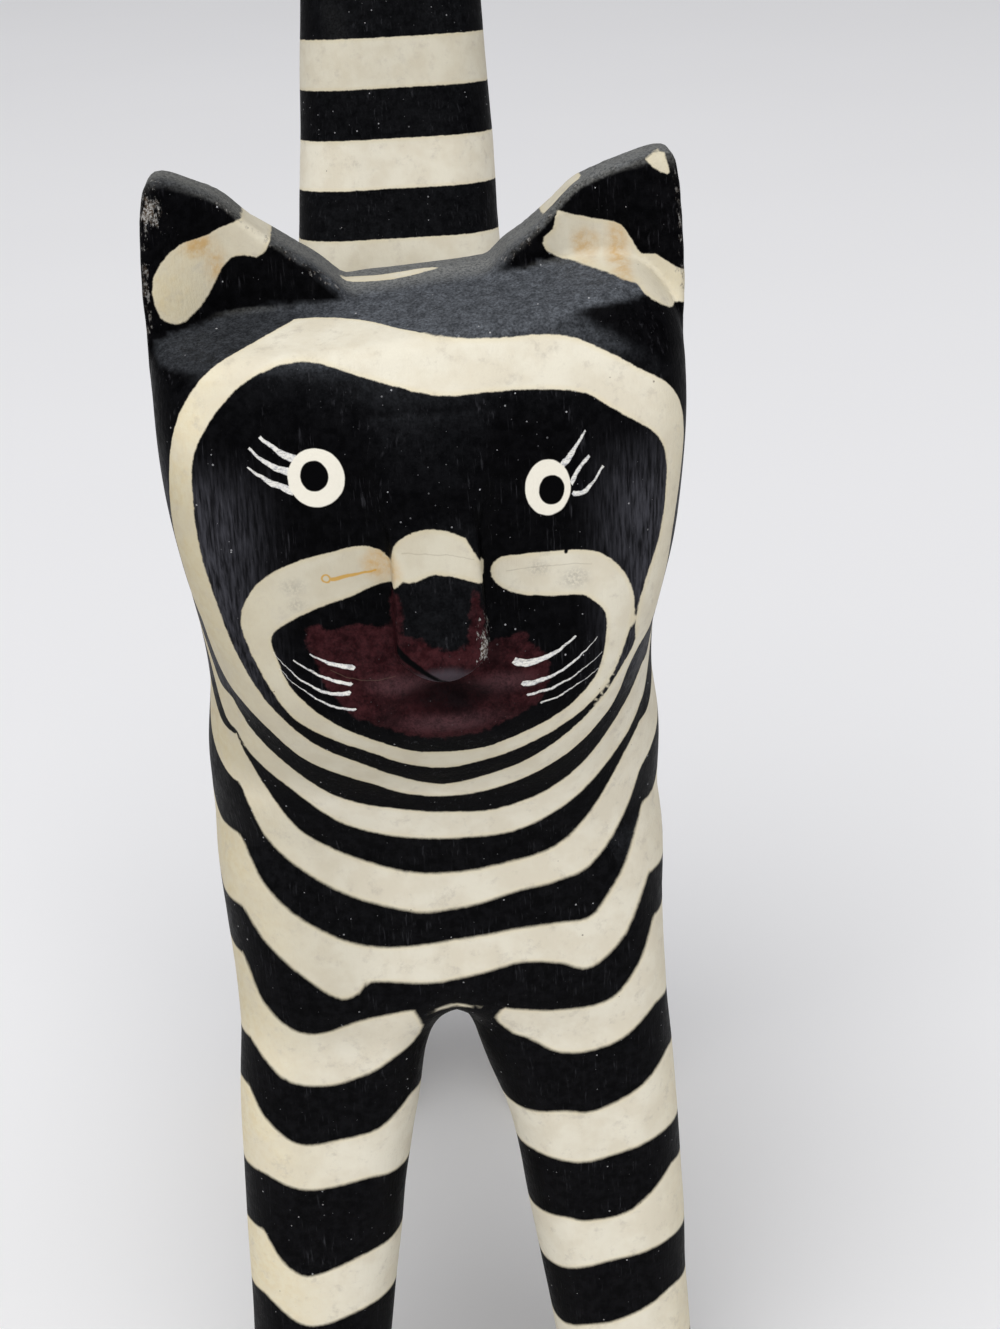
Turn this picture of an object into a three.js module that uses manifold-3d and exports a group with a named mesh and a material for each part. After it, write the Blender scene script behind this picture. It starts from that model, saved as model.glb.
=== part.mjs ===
// A hand-carved wooden cat, one solid piece that stands on its four feet with the tail held up.
// Millimetres, +Z up. The cat looks along -Y, its feet stand on z = 0, and the origin is under
// the middle of its bounding box.
import * as THREE from 'three';
import { mergeVertices } from 'three/addons/utils/BufferGeometryUtils.js';
import Module from 'manifold-3d';

// Driving dimensions. Depths (y) are counted backwards from the flat of the face.
const HEAD = {
  halfWidth: 29.6,
  cheekZ: 160,
  chinZ: 116.5,
  jawPower: 2.4,
  crownZ: 176,
  crownPower: 3.2,
  faceSweep: 3.4,
  browZ: 154,
  browSweep: 4.6,
  jawZ: 127,
  jawSweep: 2.6,
  rimY: 19,
  rimZ: 171.1,
  shelfRise: 4.4,
  shelfTilt: 0.1,
  edgeBlend: 7,
  rimBlend: 1.5,
  backY: 36,
  backSlope: 0.6,
  napeZ: 150,
  backBlend: 5,
};
const EARS = [
  {
    side: -1,
    tipY: 14.9,
    edge: [
      [4, 166.2], [7.3, 169.8], [10.1, 172.6], [13.2, 175], [17.5, 178], [20.9, 181.1],
      [24.3, 182.8], [27, 183.7], [29, 183.3], [31, 181.7],
    ],
    outer: [
      [156, 27.4], [160, 28.9], [163, 29.5], [165, 29.7], [168, 29.75], [172, 29.8],
      [177, 29.55], [179.5, 29.35], [182, 28.9], [184, 28.2],
    ],
  },
  {
    side: 1,
    tipY: 16,
    edge: [
      [5, 166.8], [8.7, 171.4], [10.6, 173.4], [13.1, 175.1], [15, 176.7], [17.3, 179], [18.7, 180.2],
      [20.5, 181.1], [22.4, 181.9], [25.1, 182.7], [28, 183.5], [29.8, 183.4], [31, 182.2],
    ],
    outer: [
      [156, 27.2], [160, 28.4], [163, 29.2], [165, 29.7], [168, 30.1], [172, 30.2],
      [177, 30.15], [180, 30.05], [182, 29.8], [184, 29.4],
    ],
  },
];
const EAR = {
  footY: 13.5,
  baseZ: 163,
  tipZ: 184.5,
  backBaseY: 26,
  backTipY: 21,
  innerX: 2,
  middleX: 20,
  spread: 10,
  outerSweep: 2.6,
  hollow: 1.7,
  hollowRise: 0.27,
  edgeScale: 0.84,
  rootDepth: 6,
  rootBlend: 4,
  blend: 2,
};
const NOSE = {
  x: 0.3,
  halfWidth: 4.6,
  flare: 0.5,
  topZ: 160,
  tipZ: 131.4,
  bridge: 1.6,
  reach: 6.2,
  reachPower: 0.8,
  crown: 0.5,
  lobeRise: 2.6,
  lobePower: 2.2,
  undercut: 0.25,
  rootY: 8,
  rootBlend: 2,
  topBlend: 3,
  blend: 2,
  soft: [[134, 0], [144, 0.3], [152, 3]],
};
const MUZZLE = { z: 128, halfWidth: 17, halfHeight: 11, bulge: 1.6 };
const MOUTH = {
  apexZ: 128.8,
  endZ: 124.6,
  halfSpan: 6.2,
  bend: 1.4,
  radius: 1.9,
  depth: 1.3,
  fadeSpan: 1.05,
  fadePower: 6,
};
const NECK = {
  x: -0.5,
  halfWidth: [[76, 25.6], [95, 26.2], [112, 26.6], [122, 26.2], [135, 25.2], [160, 23.4], [172, 21]],
  front: [[76, 13], [90, 12.4], [102, 11.2], [110, 8.8], [117, 6.4], [126, 5.5], [172, 7]],
  back: [[76, 42], [100, 52], [122, 64], [130, 59], [137, 50], [146, 43], [156, 38], [165, 31], [172, 23.5]],
  cornerRadius: 15,
  topZ: 160,
  bottomZ: 78.5,
  endBlend: 5,
};
const TORSO = {
  x: -0.4,
  frontY: 16,
  frontRound: 12,
  rearY: 125,
  rearRound: 18,
  halfWidth: [[10, 24.2], [40, 24.6], [75, 24.4], [105, 25.6], [130, 24.6]],
  belly: [[10, 79], [40, 79], [75, 82], [105, 79], [130, 77]],
  back: [[10, 126], [50, 127.5], [75, 126], [105, 129], [130, 126]],
  cornerRadius: 17,
};
const LEG = {
  topZ: 100,
  topBlend: 6,
  sawZ: -8,
  gapTurn: 8,
  gapLeft: [
    [0, 14.3], [45, 8.2], [57, 6.3], [61.5, 5.4], [68.3, 4.2], [73, 2.9], [79, 1.1], [85, -2],
  ],
  gapRight: [
    [0, 14.3], [45, 8.4], [55.3, 7.0], [60, 5.9], [67, 3.7], [71.1, 2.5], [79, 0.9], [85, -2],
  ],
  outer: [[0, 31.2], [22, 30], [60, 28.6], [90, 26.2]],
  cornerRadius: 7.5,
};
const LEGS = [
  {
    front: [[-4, 10.5], [7, 11.2], [16, 14.6], [45, 14.4], [80, 12.6]],
    back: [[-4, 36], [16, 36], [50, 38.5], [90, 44]],
  },
  {
    front: [[-4, 99], [7, 99.5], [16, 103], [45, 100], [80, 90]],
    back: [[-4, 124.5], [16, 124.5], [50, 127], [90, 122]],
  },
];
const TAIL = {
  baseZ: 112,
  baseBlend: 6,
  topZ: 229,
  topRound: 9,
  front: [[112, 96], [128, 103], [152, 108.8], [187, 115.8], [235, 126]],
  depth: [[112, 25], [128, 24], [152, 23], [187, 20.5], [235, 16.5]],
  halfWidth: [[112, 18], [128, 16.8], [152, 15.4], [187, 13.6], [235, 11.2]],
  cornerRadius: 8.5,
  lean: 0.026,
};
const BLEND = { shoulder: 9, leg: 5, tail: 9, ear: 2, chin: 8 };

// Planes of the carving grid, as [place, step] pairs: fine on the face and ears, coarse elsewhere.
const GRID = {
  x: [
    [-34, 2.4], [-24, 2.6], [-18, 4.4], [-9, 3.6], [-7, 2],
    [6, 2], [9, 3.6], [18, 4.4], [24, 2.6], [34, 2.4],
  ],
  y: [[-9.3, 1.9], [2, 2.4], [8, 2.7], [26, 4.6], [44, 9], [94, 6], [150, 6]],
  z: [
    [-12, 6], [0, 6], [12, 9], [66, 8], [100, 5], [112, 3], [120, 2.7],
    [148, 3.6], [160, 2.6], [172, 2.1], [186, 2.4], [190, 9], [240, 9],
  ],
};

// How a vertex settles onto the surface, and how the feet are sawn.
const SETTLE = { rounds: 3, probe: 0.05, flattest: 0.05, margin: 0.01 };
const SAW = { span: 400, depth: 40, edge: 0.5 };
const MERGE = 1e-4;

// Smooth joins between two distances, with the width of the blend in millimetres.
function join(a, b, blend) {
  const h = Math.max(blend - Math.abs(a - b), 0) / blend;
  return Math.min(a, b) - h * h * blend / 4;
}

function cut(a, b, blend) {
  return -join(-a, -b, blend);
}

// A value that follows the given [place, value] pairs along one smooth curve.
function follow(pairs, t) {
  const last = pairs.length - 1;
  if (t <= pairs[0][0]) return pairs[0][1];
  if (t >= pairs[last][0]) return pairs[last][1];
  let i = 0;
  while (t > pairs[i + 1][0]) i++;
  const slope = (k) => {
    const a = pairs[Math.max(k - 1, 0)];
    const b = pairs[Math.min(k + 1, last)];
    return (b[1] - a[1]) / (b[0] - a[0]);
  };
  const [t0, v0] = pairs[i];
  const [t1, v1] = pairs[i + 1];
  const span = t1 - t0;
  const s = (t - t0) / span;
  const s2 = s * s;
  const s3 = s2 * s;
  return v0 * (2 * s3 - 3 * s2 + 1) + slope(i) * span * (s3 - 2 * s2 + s)
    + v1 * (3 * s2 - 2 * s3) + slope(i + 1) * span * (s3 - s2);
}

// Distance to a rectangle with rounded corners, the section of every limb.
function roundedSection(u, v, halfU, halfV, radius) {
  const r = Math.min(radius, halfU - 0.5, halfV - 0.5);
  const qu = Math.abs(u) - halfU + r;
  const qv = Math.abs(v) - halfV + r;
  return Math.hypot(Math.max(qu, 0), Math.max(qv, 0)) + Math.min(Math.max(qu, qv), 0) - r;
}

function bump(u, v) {
  const d = u * u + v * v;
  return d < 1 ? (1 - d) * (1 - d) : 0;
}

// The head seen from the front: straight cheeks above and a U-shaped jaw below.
function headOutline(x, z) {
  const above = z > HEAD.cheekZ;
  const power = above ? HEAD.crownPower : HEAD.jawPower;
  const run = (z - HEAD.cheekZ) / ((above ? HEAD.crownZ : HEAD.chinZ) - HEAD.cheekZ);
  const side = Math.abs(x) / HEAD.halfWidth;
  const reach = Math.pow(Math.pow(side, power) + Math.pow(run, power), 1 / power);
  return (reach - 1) * HEAD.halfWidth;
}

function faceDepth(x, z) {
  const side = x / HEAD.halfWidth;
  const brow = Math.max(z - HEAD.browZ, 0) / (HEAD.rimZ - HEAD.browZ);
  const jaw = Math.max(HEAD.jawZ - z, 0) / (HEAD.jawZ - HEAD.chinZ);
  const muzzle = MUZZLE.bulge * bump(x / MUZZLE.halfWidth, (z - MUZZLE.z) / MUZZLE.halfHeight);
  return HEAD.faceSweep * side * side + HEAD.browSweep * brow * brow + HEAD.jawSweep * jaw * jaw - muzzle;
}

// The mouth: a shallow hollow that falls away to both sides from under the nose.
function mouthHollow(x, z) {
  const u = Math.min(Math.abs(x - NOSE.x) / MOUTH.halfSpan, MOUTH.bend);
  const lineZ = MOUTH.apexZ - (MOUTH.apexZ - MOUTH.endZ) * Math.pow(u, MOUTH.bend);
  const across = (z - lineZ) / MOUTH.radius;
  const fade = Math.pow(u / MOUTH.fadeSpan, MOUTH.fadePower);
  return MOUTH.depth * Math.exp(-across * across - fade);
}

// The top of the head: a shelf that rises from the forehead to the rim between the ears.
function shelfZ(x, y) {
  return HEAD.rimZ + HEAD.shelfTilt * x + HEAD.shelfRise * (Math.min(y / HEAD.rimY, 1) - 1);
}

function skull(x, y, z) {
  const face = faceDepth(x, z) + mouthHollow(x, z) - y;
  let d = cut(headOutline(x, z), face, HEAD.edgeBlend);
  d = cut(d, y - HEAD.backY + HEAD.backSlope * Math.max(z - HEAD.napeZ, 0), HEAD.backBlend);
  return cut(d, z - shelfZ(x, y), HEAD.rimBlend);
}

// An ear stands on the back half of the head, with a shallow hollow in front.
function ear(x, y, z, shape) {
  const out = shape.side * x;
  const rise = (z - EAR.baseZ) / (EAR.tipZ - EAR.baseZ);
  const across = (out - EAR.middleX) / EAR.spread;
  const hollow = EAR.hollow * bump(across, rise - EAR.hollowRise);
  const sweep = EAR.outerSweep * Math.max(across, 0) * (1 - rise);
  const front = EAR.footY + (shape.tipY - EAR.footY) * rise - sweep + hollow;
  const back = EAR.backBaseY + (EAR.backTipY - EAR.backBaseY) * rise;
  const rim = (z - follow(shape.edge, out)) * EAR.edgeScale;
  let d = cut(rim, out - follow(shape.outer, z), EAR.blend);
  d = cut(d, front - y, EAR.blend);
  d = cut(d, y - back, EAR.blend);
  d = cut(d, EAR.baseZ - EAR.rootDepth - z, EAR.rootBlend);
  return cut(d, EAR.innerX - out, EAR.rootBlend);
}

// A straight block of a nose that stands out further towards its rounded tip.
function nose(x, y, z) {
  const u = x - NOSE.x;
  const fall = Math.min(Math.max((NOSE.topZ - z) / (NOSE.topZ - NOSE.tipZ), 0), 1);
  const side = Math.abs(u) / (NOSE.halfWidth + NOSE.flare * fall);
  const reach = (NOSE.reach + NOSE.bridge) * Math.pow(fall, NOSE.reachPower);
  const front = NOSE.bridge - reach + NOSE.crown * side * side;
  const lobe = NOSE.tipZ + NOSE.lobeRise * Math.pow(side, NOSE.lobePower);
  let d = cut(Math.abs(u) - NOSE.halfWidth - NOSE.flare * fall, front - y, NOSE.blend);
  d = cut(d, lobe - z - NOSE.undercut * (y + NOSE.reach), NOSE.blend);
  d = cut(d, y - NOSE.rootY, NOSE.rootBlend);
  return cut(d, z - NOSE.topZ, NOSE.topBlend);
}

function neck(x, y, z) {
  const front = follow(NECK.front, z);
  const back = follow(NECK.back, z);
  const halfWidth = follow(NECK.halfWidth, z);
  const v = y - (front + back) / 2;
  let d = roundedSection(x - NECK.x, v, halfWidth, (back - front) / 2, NECK.cornerRadius);
  d = cut(d, z - NECK.topZ, NECK.endBlend);
  return cut(d, NECK.bottomZ - z, NECK.endBlend);
}

function torso(x, y, z) {
  const belly = follow(TORSO.belly, y);
  const back = follow(TORSO.back, y);
  const halfWidth = follow(TORSO.halfWidth, y);
  const v = z - (belly + back) / 2;
  let d = roundedSection(x - TORSO.x, v, halfWidth, (back - belly) / 2, TORSO.cornerRadius);
  d = cut(d, y - TORSO.rearY, TORSO.rearRound);
  return cut(d, TORSO.frontY - y, TORSO.frontRound);
}

function leg(x, y, z, shape) {
  const left = follow(LEG.gapLeft, z);
  const right = follow(LEG.gapRight, z);
  const inner = left + (right - left) * Math.min(Math.max(x / LEG.gapTurn + 0.5, 0), 1);
  const outer = follow(LEG.outer, z);
  const front = follow(shape.front, z);
  const back = follow(shape.back, z);
  const u = Math.abs(x) - (inner + outer) / 2;
  const v = y - (front + back) / 2;
  let d = roundedSection(u, v, (outer - inner) / 2, (back - front) / 2, LEG.cornerRadius);
  d = cut(d, z - LEG.topZ, LEG.topBlend);
  return cut(d, LEG.sawZ - z, SAW.edge);
}

function tail(x, y, z) {
  const depth = follow(TAIL.depth, z);
  const u = x - TAIL.lean * (z - TAIL.baseZ);
  const v = y - follow(TAIL.front, z) - depth / 2;
  let d = roundedSection(u, v, follow(TAIL.halfWidth, z), depth / 2, TAIL.cornerRadius);
  d = cut(d, z - TAIL.topZ, TAIL.topRound);
  return cut(d, TAIL.baseZ - z, TAIL.baseBlend);
}

// Signed distance to the whole cat, negative inside the wood.
function cat(x, y, z) {
  let body = join(neck(x, y, z), torso(x, y, z), BLEND.shoulder);
  for (const shape of LEGS) {
    body = join(body, leg(x, y, z, shape), BLEND.leg);
  }
  body = join(body, tail(x, y, z), BLEND.tail);
  let head = skull(x, y, z);
  for (const shape of EARS) {
    head = join(head, ear(x, y, z, shape), BLEND.ear);
  }
  head = join(head, nose(x, y, z), NOSE.blend + follow(NOSE.soft, z));
  return join(body, head, BLEND.chin);
}

// Places of the sampling planes along one axis, from [start, step] pairs.
function planes(spacing) {
  const places = [spacing[0][0]];
  const end = spacing[spacing.length - 1][0];
  while (places[places.length - 1] < end) {
    const here = places[places.length - 1];
    let i = 0;
    while (i < spacing.length - 2 && here >= spacing[i + 1][0]) i++;
    const s = (here - spacing[i][0]) / (spacing[i + 1][0] - spacing[i][0]);
    places.push(here + spacing[i][1] * (1 - s) + spacing[i + 1][1] * s);
  }
  return places;
}

// One closed skin where the distance is zero: a vertex in every crossed cell of the grid,
// moved onto the surface, and a quad around every crossed edge.
function skin(distance, xs, ys, zs) {
  const nx = xs.length;
  const ny = ys.length;
  const nz = zs.length;
  const at = (i, j, k) => (i * ny + j) * nz + k;
  const value = new Float64Array(nx * ny * nz);
  for (let i = 0; i < nx; i++) {
    for (let j = 0; j < ny; j++) {
      for (let k = 0; k < nz; k++) {
        value[at(i, j, k)] = distance(xs[i], ys[j], zs[k]);
      }
    }
  }
  const axes = [xs, ys, zs];
  const corners = [];
  for (let c = 0; c < 8; c++) {
    corners.push([c & 1, (c >> 1) & 1, (c >> 2) & 1]);
  }
  const positions = [];
  const vertexOf = new Int32Array(nx * ny * nz).fill(-1);
  for (let i = 0; i < nx - 1; i++) {
    for (let j = 0; j < ny - 1; j++) {
      for (let k = 0; k < nz - 1; k++) {
        const cell = [i, j, k];
        const sum = [0, 0, 0];
        let count = 0;
        for (const a of corners) {
          for (let axis = 0; axis < 3; axis++) {
            if (a[axis] === 1) continue;
            const b = a.slice();
            b[axis] = 1;
            const va = value[at(i + a[0], j + a[1], k + a[2])];
            const vb = value[at(i + b[0], j + b[1], k + b[2])];
            if ((va < 0) === (vb < 0)) continue;
            const s = va / (va - vb);
            for (let n = 0; n < 3; n++) {
              const pa = axes[n][cell[n] + a[n]];
              const pb = axes[n][cell[n] + b[n]];
              sum[n] += pa + (pb - pa) * s;
            }
            count++;
          }
        }
        if (count === 0) continue;
        const point = sum.map((total) => total / count);
        settle(distance, point, cell, axes);
        vertexOf[at(i, j, k)] = positions.length / 3;
        positions.push(...point);
      }
    }
  }
  const index = [];
  const step = [[1, 0, 0], [0, 1, 0], [0, 0, 1]];
  for (let i = 0; i < nx - 1; i++) {
    for (let j = 0; j < ny - 1; j++) {
      for (let k = 0; k < nz - 1; k++) {
        for (let axis = 0; axis < 3; axis++) {
          const place = [i, j, k];
          if (place[(axis + 1) % 3] === 0 || place[(axis + 2) % 3] === 0) continue;
          const d = step[axis];
          const inside = value[at(i, j, k)] < 0;
          if (inside === (value[at(i + d[0], j + d[1], k + d[2])] < 0)) continue;
          const u = step[(axis + 1) % 3];
          const v = step[(axis + 2) % 3];
          const ring = [[0, 0], [1, 0], [1, 1], [0, 1]].map(([p, q]) =>
            vertexOf[at(i - p * u[0] - q * v[0], j - p * u[1] - q * v[1], k - p * u[2] - q * v[2])]);
          addQuad(index, positions, inside ? ring : ring.reverse());
        }
      }
    }
  }
  const geometry = new THREE.BufferGeometry();
  geometry.setAttribute('position', new THREE.Float32BufferAttribute(positions, 3));
  geometry.setIndex(index);
  return geometry;
}

// Moves a vertex down the slope of the distance, without leaving its own cell.
function settle(distance, point, cell, axes) {
  for (let round = 0; round < SETTLE.rounds; round++) {
    const d = distance(...point);
    const slope = [0, 1, 2].map((n) => {
      const ahead = point.slice();
      const behind = point.slice();
      ahead[n] += SETTLE.probe;
      behind[n] -= SETTLE.probe;
      return (distance(...ahead) - distance(...behind)) / (2 * SETTLE.probe);
    });
    const steep = Math.max(slope[0] ** 2 + slope[1] ** 2 + slope[2] ** 2, SETTLE.flattest);
    for (let n = 0; n < 3; n++) {
      const low = axes[n][cell[n]];
      const high = axes[n][cell[n] + 1];
      const margin = (high - low) * SETTLE.margin;
      point[n] = Math.min(Math.max(point[n] - d * slope[n] / steep, low + margin), high - margin);
    }
  }
}

function addQuad(index, positions, ring) {
  const away = (a, b, n) => positions[3 * a + n] - positions[3 * b + n];
  const gap = (a, b) => Math.hypot(away(a, b, 0), away(a, b, 1), away(a, b, 2));
  const [a, b, c, d] = ring;
  if (gap(a, c) < gap(b, d)) {
    index.push(a, b, c, a, c, d);
  } else {
    index.push(b, c, d, b, d, a);
  }
}

const wasm = await Module();
wasm.setup();

function toSolid(geometry) {
  const bare = new THREE.BufferGeometry();
  bare.setAttribute('position', geometry.getAttribute('position'));
  bare.setIndex(geometry.getIndex());
  const merged = mergeVertices(bare, MERGE);
  return new wasm.Manifold(new wasm.Mesh({
    numProp: 3,
    vertProperties: new Float32Array(merged.getAttribute('position').array),
    triVerts: new Uint32Array(merged.getIndex().array),
  }));
}

function toGeometry(solid) {
  const mesh = solid.getMesh();
  const geometry = new THREE.BufferGeometry();
  geometry.setAttribute('position', new THREE.Float32BufferAttribute(mesh.vertProperties, 3));
  geometry.setIndex(new THREE.BufferAttribute(mesh.triVerts, 1));
  return geometry;
}

// The feet are sawn off flat where the cat stands.
function sawFeet(solid) {
  const slab = new THREE.BoxGeometry(SAW.span, SAW.span, SAW.depth);
  slab.translate(0, 0, -SAW.depth / 2);
  return solid.subtract(toSolid(slab));
}

function carveCat() {
  const rough = skin(cat, planes(GRID.x), planes(GRID.y), planes(GRID.z));
  const geometry = toGeometry(sawFeet(toSolid(rough)));
  geometry.computeBoundingBox();
  const middle = geometry.boundingBox.getCenter(new THREE.Vector3());
  geometry.translate(-middle.x, -middle.y, 0);
  geometry.computeVertexNormals();
  return geometry;
}

const paintedWood = new THREE.MeshStandardMaterial({ color: 0x1b1b20, roughness: 0.5, metalness: 0 });
const figurine = new THREE.Mesh(carveCat(), paintedWood);
figurine.name = 'cat_figurine';

const model = new THREE.Group();
model.add(figurine);
export default model;
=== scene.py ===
import math
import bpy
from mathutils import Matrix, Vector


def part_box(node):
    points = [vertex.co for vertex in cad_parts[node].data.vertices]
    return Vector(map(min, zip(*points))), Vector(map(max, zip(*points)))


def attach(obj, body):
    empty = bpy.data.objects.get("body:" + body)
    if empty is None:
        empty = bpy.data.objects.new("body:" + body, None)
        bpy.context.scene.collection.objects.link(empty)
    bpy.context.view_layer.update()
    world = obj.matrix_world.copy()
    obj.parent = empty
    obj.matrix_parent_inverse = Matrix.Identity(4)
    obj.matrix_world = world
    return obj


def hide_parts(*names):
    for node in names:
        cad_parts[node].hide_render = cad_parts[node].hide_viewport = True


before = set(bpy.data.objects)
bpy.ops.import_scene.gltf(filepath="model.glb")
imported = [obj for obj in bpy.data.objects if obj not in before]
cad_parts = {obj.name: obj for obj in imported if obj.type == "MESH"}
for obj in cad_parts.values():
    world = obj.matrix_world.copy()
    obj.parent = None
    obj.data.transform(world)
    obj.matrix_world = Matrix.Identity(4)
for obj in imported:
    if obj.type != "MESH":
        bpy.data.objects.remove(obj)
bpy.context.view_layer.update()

from types import SimpleNamespace as Form

import bpy
import numpy as np
from mathutils import Matrix, Vector

# A carved wooden cat in black, cream and maroon paint. The wood is one skin over a distance
# field, the broad bands are signed distances kept on its vertices, and the fine strokes and
# the wear are painted by the material.
# Shapes are worked out in the carver's frame: millimetres, +Z up, y counted backwards from the
# flat of the face, x to the right as the viewer sees it.
NODE = "cat_figurine"
MM = 0.001

# The wood
HEAD = Form(
    half_width=29.6, cheek_z=160, chin_z=116.5, jaw_power=2.4, crown_z=176, crown_power=3.2,
    face_sweep=3.4, brow_z=154, brow_sweep=4.6, jaw_z=127, jaw_sweep=2.6,
    rim_y=19, rim_z=171.1, shelf_rise=4.4, shelf_tilt=0.1, edge_blend=7, rim_blend=1.5,
    back_y=36, back_slope=0.6, nape_z=150, back_blend=5,
)
EARS = [
    Form(
        side=-1, tip_y=14.9,
        edge=[(4, 166.2), (7.3, 169.8), (10.1, 172.6), (13.2, 175), (17.5, 178), (20.9, 181.1), (24.3, 182.8),
              (27, 183.7), (29, 183.3), (31, 181.7)],
        outer=[(156, 27.4), (160, 28.9), (163, 29.5), (165, 29.7), (168, 29.75), (172, 29.8), (177, 29.55),
               (179.5, 29.35), (182, 28.9), (184, 28.2)],
    ),
    Form(
        side=1, tip_y=16,
        edge=[(5, 166.8), (8.7, 171.4), (10.6, 173.4), (13.1, 175.1), (15, 176.7), (17.3, 179), (18.7, 180.2),
              (20.5, 181.1), (22.4, 181.9), (25.1, 182.7), (28, 183.5), (29.8, 183.4), (31, 182.2)],
        outer=[(156, 27.2), (160, 28.4), (163, 29.2), (165, 29.7), (168, 30.1), (172, 30.2), (177, 30.15),
               (180, 30.05), (182, 29.8), (184, 29.4)],
    ),
]
EAR = Form(
    foot_y=13.5, base_z=163, tip_z=184.5, back_base_y=26, back_tip_y=21,
    inner_x=2, middle_x=20, spread=10, outer_sweep=2.6,
    hollow=1.7, hollow_rise=0.27, edge_scale=0.84, root_depth=6, root_blend=4, blend=1.2,
)
NOSE = Form(
    x=0.3, half_width=4.6, flare=0.5, top_z=160, tip_z=131.4, bridge=1.6, reach=6.2, reach_power=0.8,
    crown=0.5, lobe_rise=2.6, lobe_power=2.2, undercut=0.25, root_y=8, root_blend=2, top_blend=3,
    blend=0.9, soft=[(134, 0), (144, 0.6), (152, 4)],
)
MUZZLE = Form(z=128, half_width=17, half_height=11, bulge=1.6)
MOUTH = Form(
    apex_z=128.8, end_z=124.6, half_span=6.2, bend=1.4, radius=1.9, depth=1.3, fade_span=1.05, fade_power=6,
)
NECK = Form(
    x=-0.5,
    half_width=[(76, 25.6), (95, 26.2), (112, 26.6), (122, 26.2), (135, 25.2), (160, 23.4), (172, 21)],
    front=[(76, 13), (90, 12.4), (102, 11.2), (110, 8.8), (117, 6.4), (126, 5.5), (172, 7)],
    back=[(76, 42), (100, 52), (122, 64), (130, 59), (137, 50), (146, 43), (156, 38), (165, 31), (172, 23.5)],
    radius=15, top_z=160, bottom_z=78.5, end_blend=5,
)
TORSO = Form(
    x=-0.4, front_y=16, front_round=12, rear_y=125, rear_round=18,
    half_width=[(10, 24.2), (40, 24.6), (75, 24.4), (105, 25.6), (130, 24.6)],
    belly=[(10, 79), (40, 79), (75, 82), (105, 79), (130, 77)],
    back=[(10, 126), (50, 127.5), (75, 126), (105, 129), (130, 126)],
    radius=17,
)
LEG = Form(
    top_z=100, top_blend=6, saw_z=0,
    gap_left=[(0, 14.3), (45, 8.2), (57, 6.3), (61.5, 5.4), (68.3, 4.2), (73, 2.9), (79, 1.1), (85, -2)],
    gap_right=[(0, 14.3), (45, 8.4), (55.3, 7.0), (60, 5.9), (67, 3.7), (71.1, 2.5), (79, 0.9), (85, -2)],
    gap_turn=8, outer=[(0, 31.2), (22, 30), (60, 28.6), (90, 26.2)], radius=7.5,
)
LEGS = [
    Form(
        front=[(-4, 10.5), (7, 11.2), (16, 14.6), (45, 14.4), (80, 12.6)],
        back=[(-4, 36), (16, 36), (50, 38.5), (90, 44)],
    ),
    Form(
        front=[(-4, 99), (7, 99.5), (16, 103), (45, 100), (80, 90)],
        back=[(-4, 124.5), (16, 124.5), (50, 127), (90, 122)],
    ),
]
TAIL = Form(
    base_z=112, base_blend=6, top_z=229, top_round=9,
    front=[(112, 96), (128, 103), (152, 108.8), (187, 115.8), (235, 126)],
    depth=[(112, 25), (128, 24), (152, 23), (187, 20.5), (235, 16.5)],
    half_width=[(112, 18), (128, 16.8), (152, 15.4), (187, 13.6), (235, 11.2)],
    radius=8.5, lean=0.026,
)
BLEND = Form(shoulder=9, leg=5, tail=9, ear=0.8, chin=8)
# The least flat on each side of a rounded section
SECTION_FLAT = 0.5
TOOL_MARKS = Form(long=0.1, short=0.045)


def join(a, b, blend):
    h = np.maximum(blend - np.abs(a - b), 0) / blend
    return np.minimum(a, b) - h * h * blend / 4


def cut(a, b, blend):
    return -join(-a, -b, blend)


def follow(pairs, t):
    """A value that follows [place, value] pairs along one smooth curve."""
    places, values = np.array(pairs, float).T
    last = len(places) - 1
    t = np.clip(t, places[0], places[-1])
    i = np.clip(np.searchsorted(places, t) - 1, 0, last - 1)
    before = np.maximum(np.arange(last + 1) - 1, 0)
    after = np.minimum(np.arange(last + 1) + 1, last)
    slope = (values[after] - values[before]) / (places[after] - places[before])
    span = places[i + 1] - places[i]
    s = (t - places[i]) / span
    start = values[i] * (2 * s**3 - 3 * s**2 + 1) + slope[i] * span * (s**3 - 2 * s**2 + s)
    return start + values[i + 1] * (3 * s**2 - 2 * s**3) + slope[i + 1] * span * (s**3 - s**2)


def rounded_section(u, v, half_u, half_v, radius):
    r = np.minimum(radius, np.minimum(half_u, half_v) - SECTION_FLAT)
    qu = np.abs(u) - half_u + r
    qv = np.abs(v) - half_v + r
    return np.hypot(np.maximum(qu, 0), np.maximum(qv, 0)) + np.minimum(np.maximum(qu, qv), 0) - r


def bump(u, v):
    return np.maximum(1 - u * u - v * v, 0) ** 2


def head_outline(x, z):
    above = z > HEAD.cheek_z
    power = np.where(above, HEAD.crown_power, HEAD.jaw_power)
    height = np.where(above, HEAD.crown_z - HEAD.cheek_z, HEAD.cheek_z - HEAD.chin_z)
    run = np.abs(z - HEAD.cheek_z) / height
    side = np.abs(x) / HEAD.half_width
    return ((side**power + run**power) ** (1 / power) - 1) * HEAD.half_width


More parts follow.
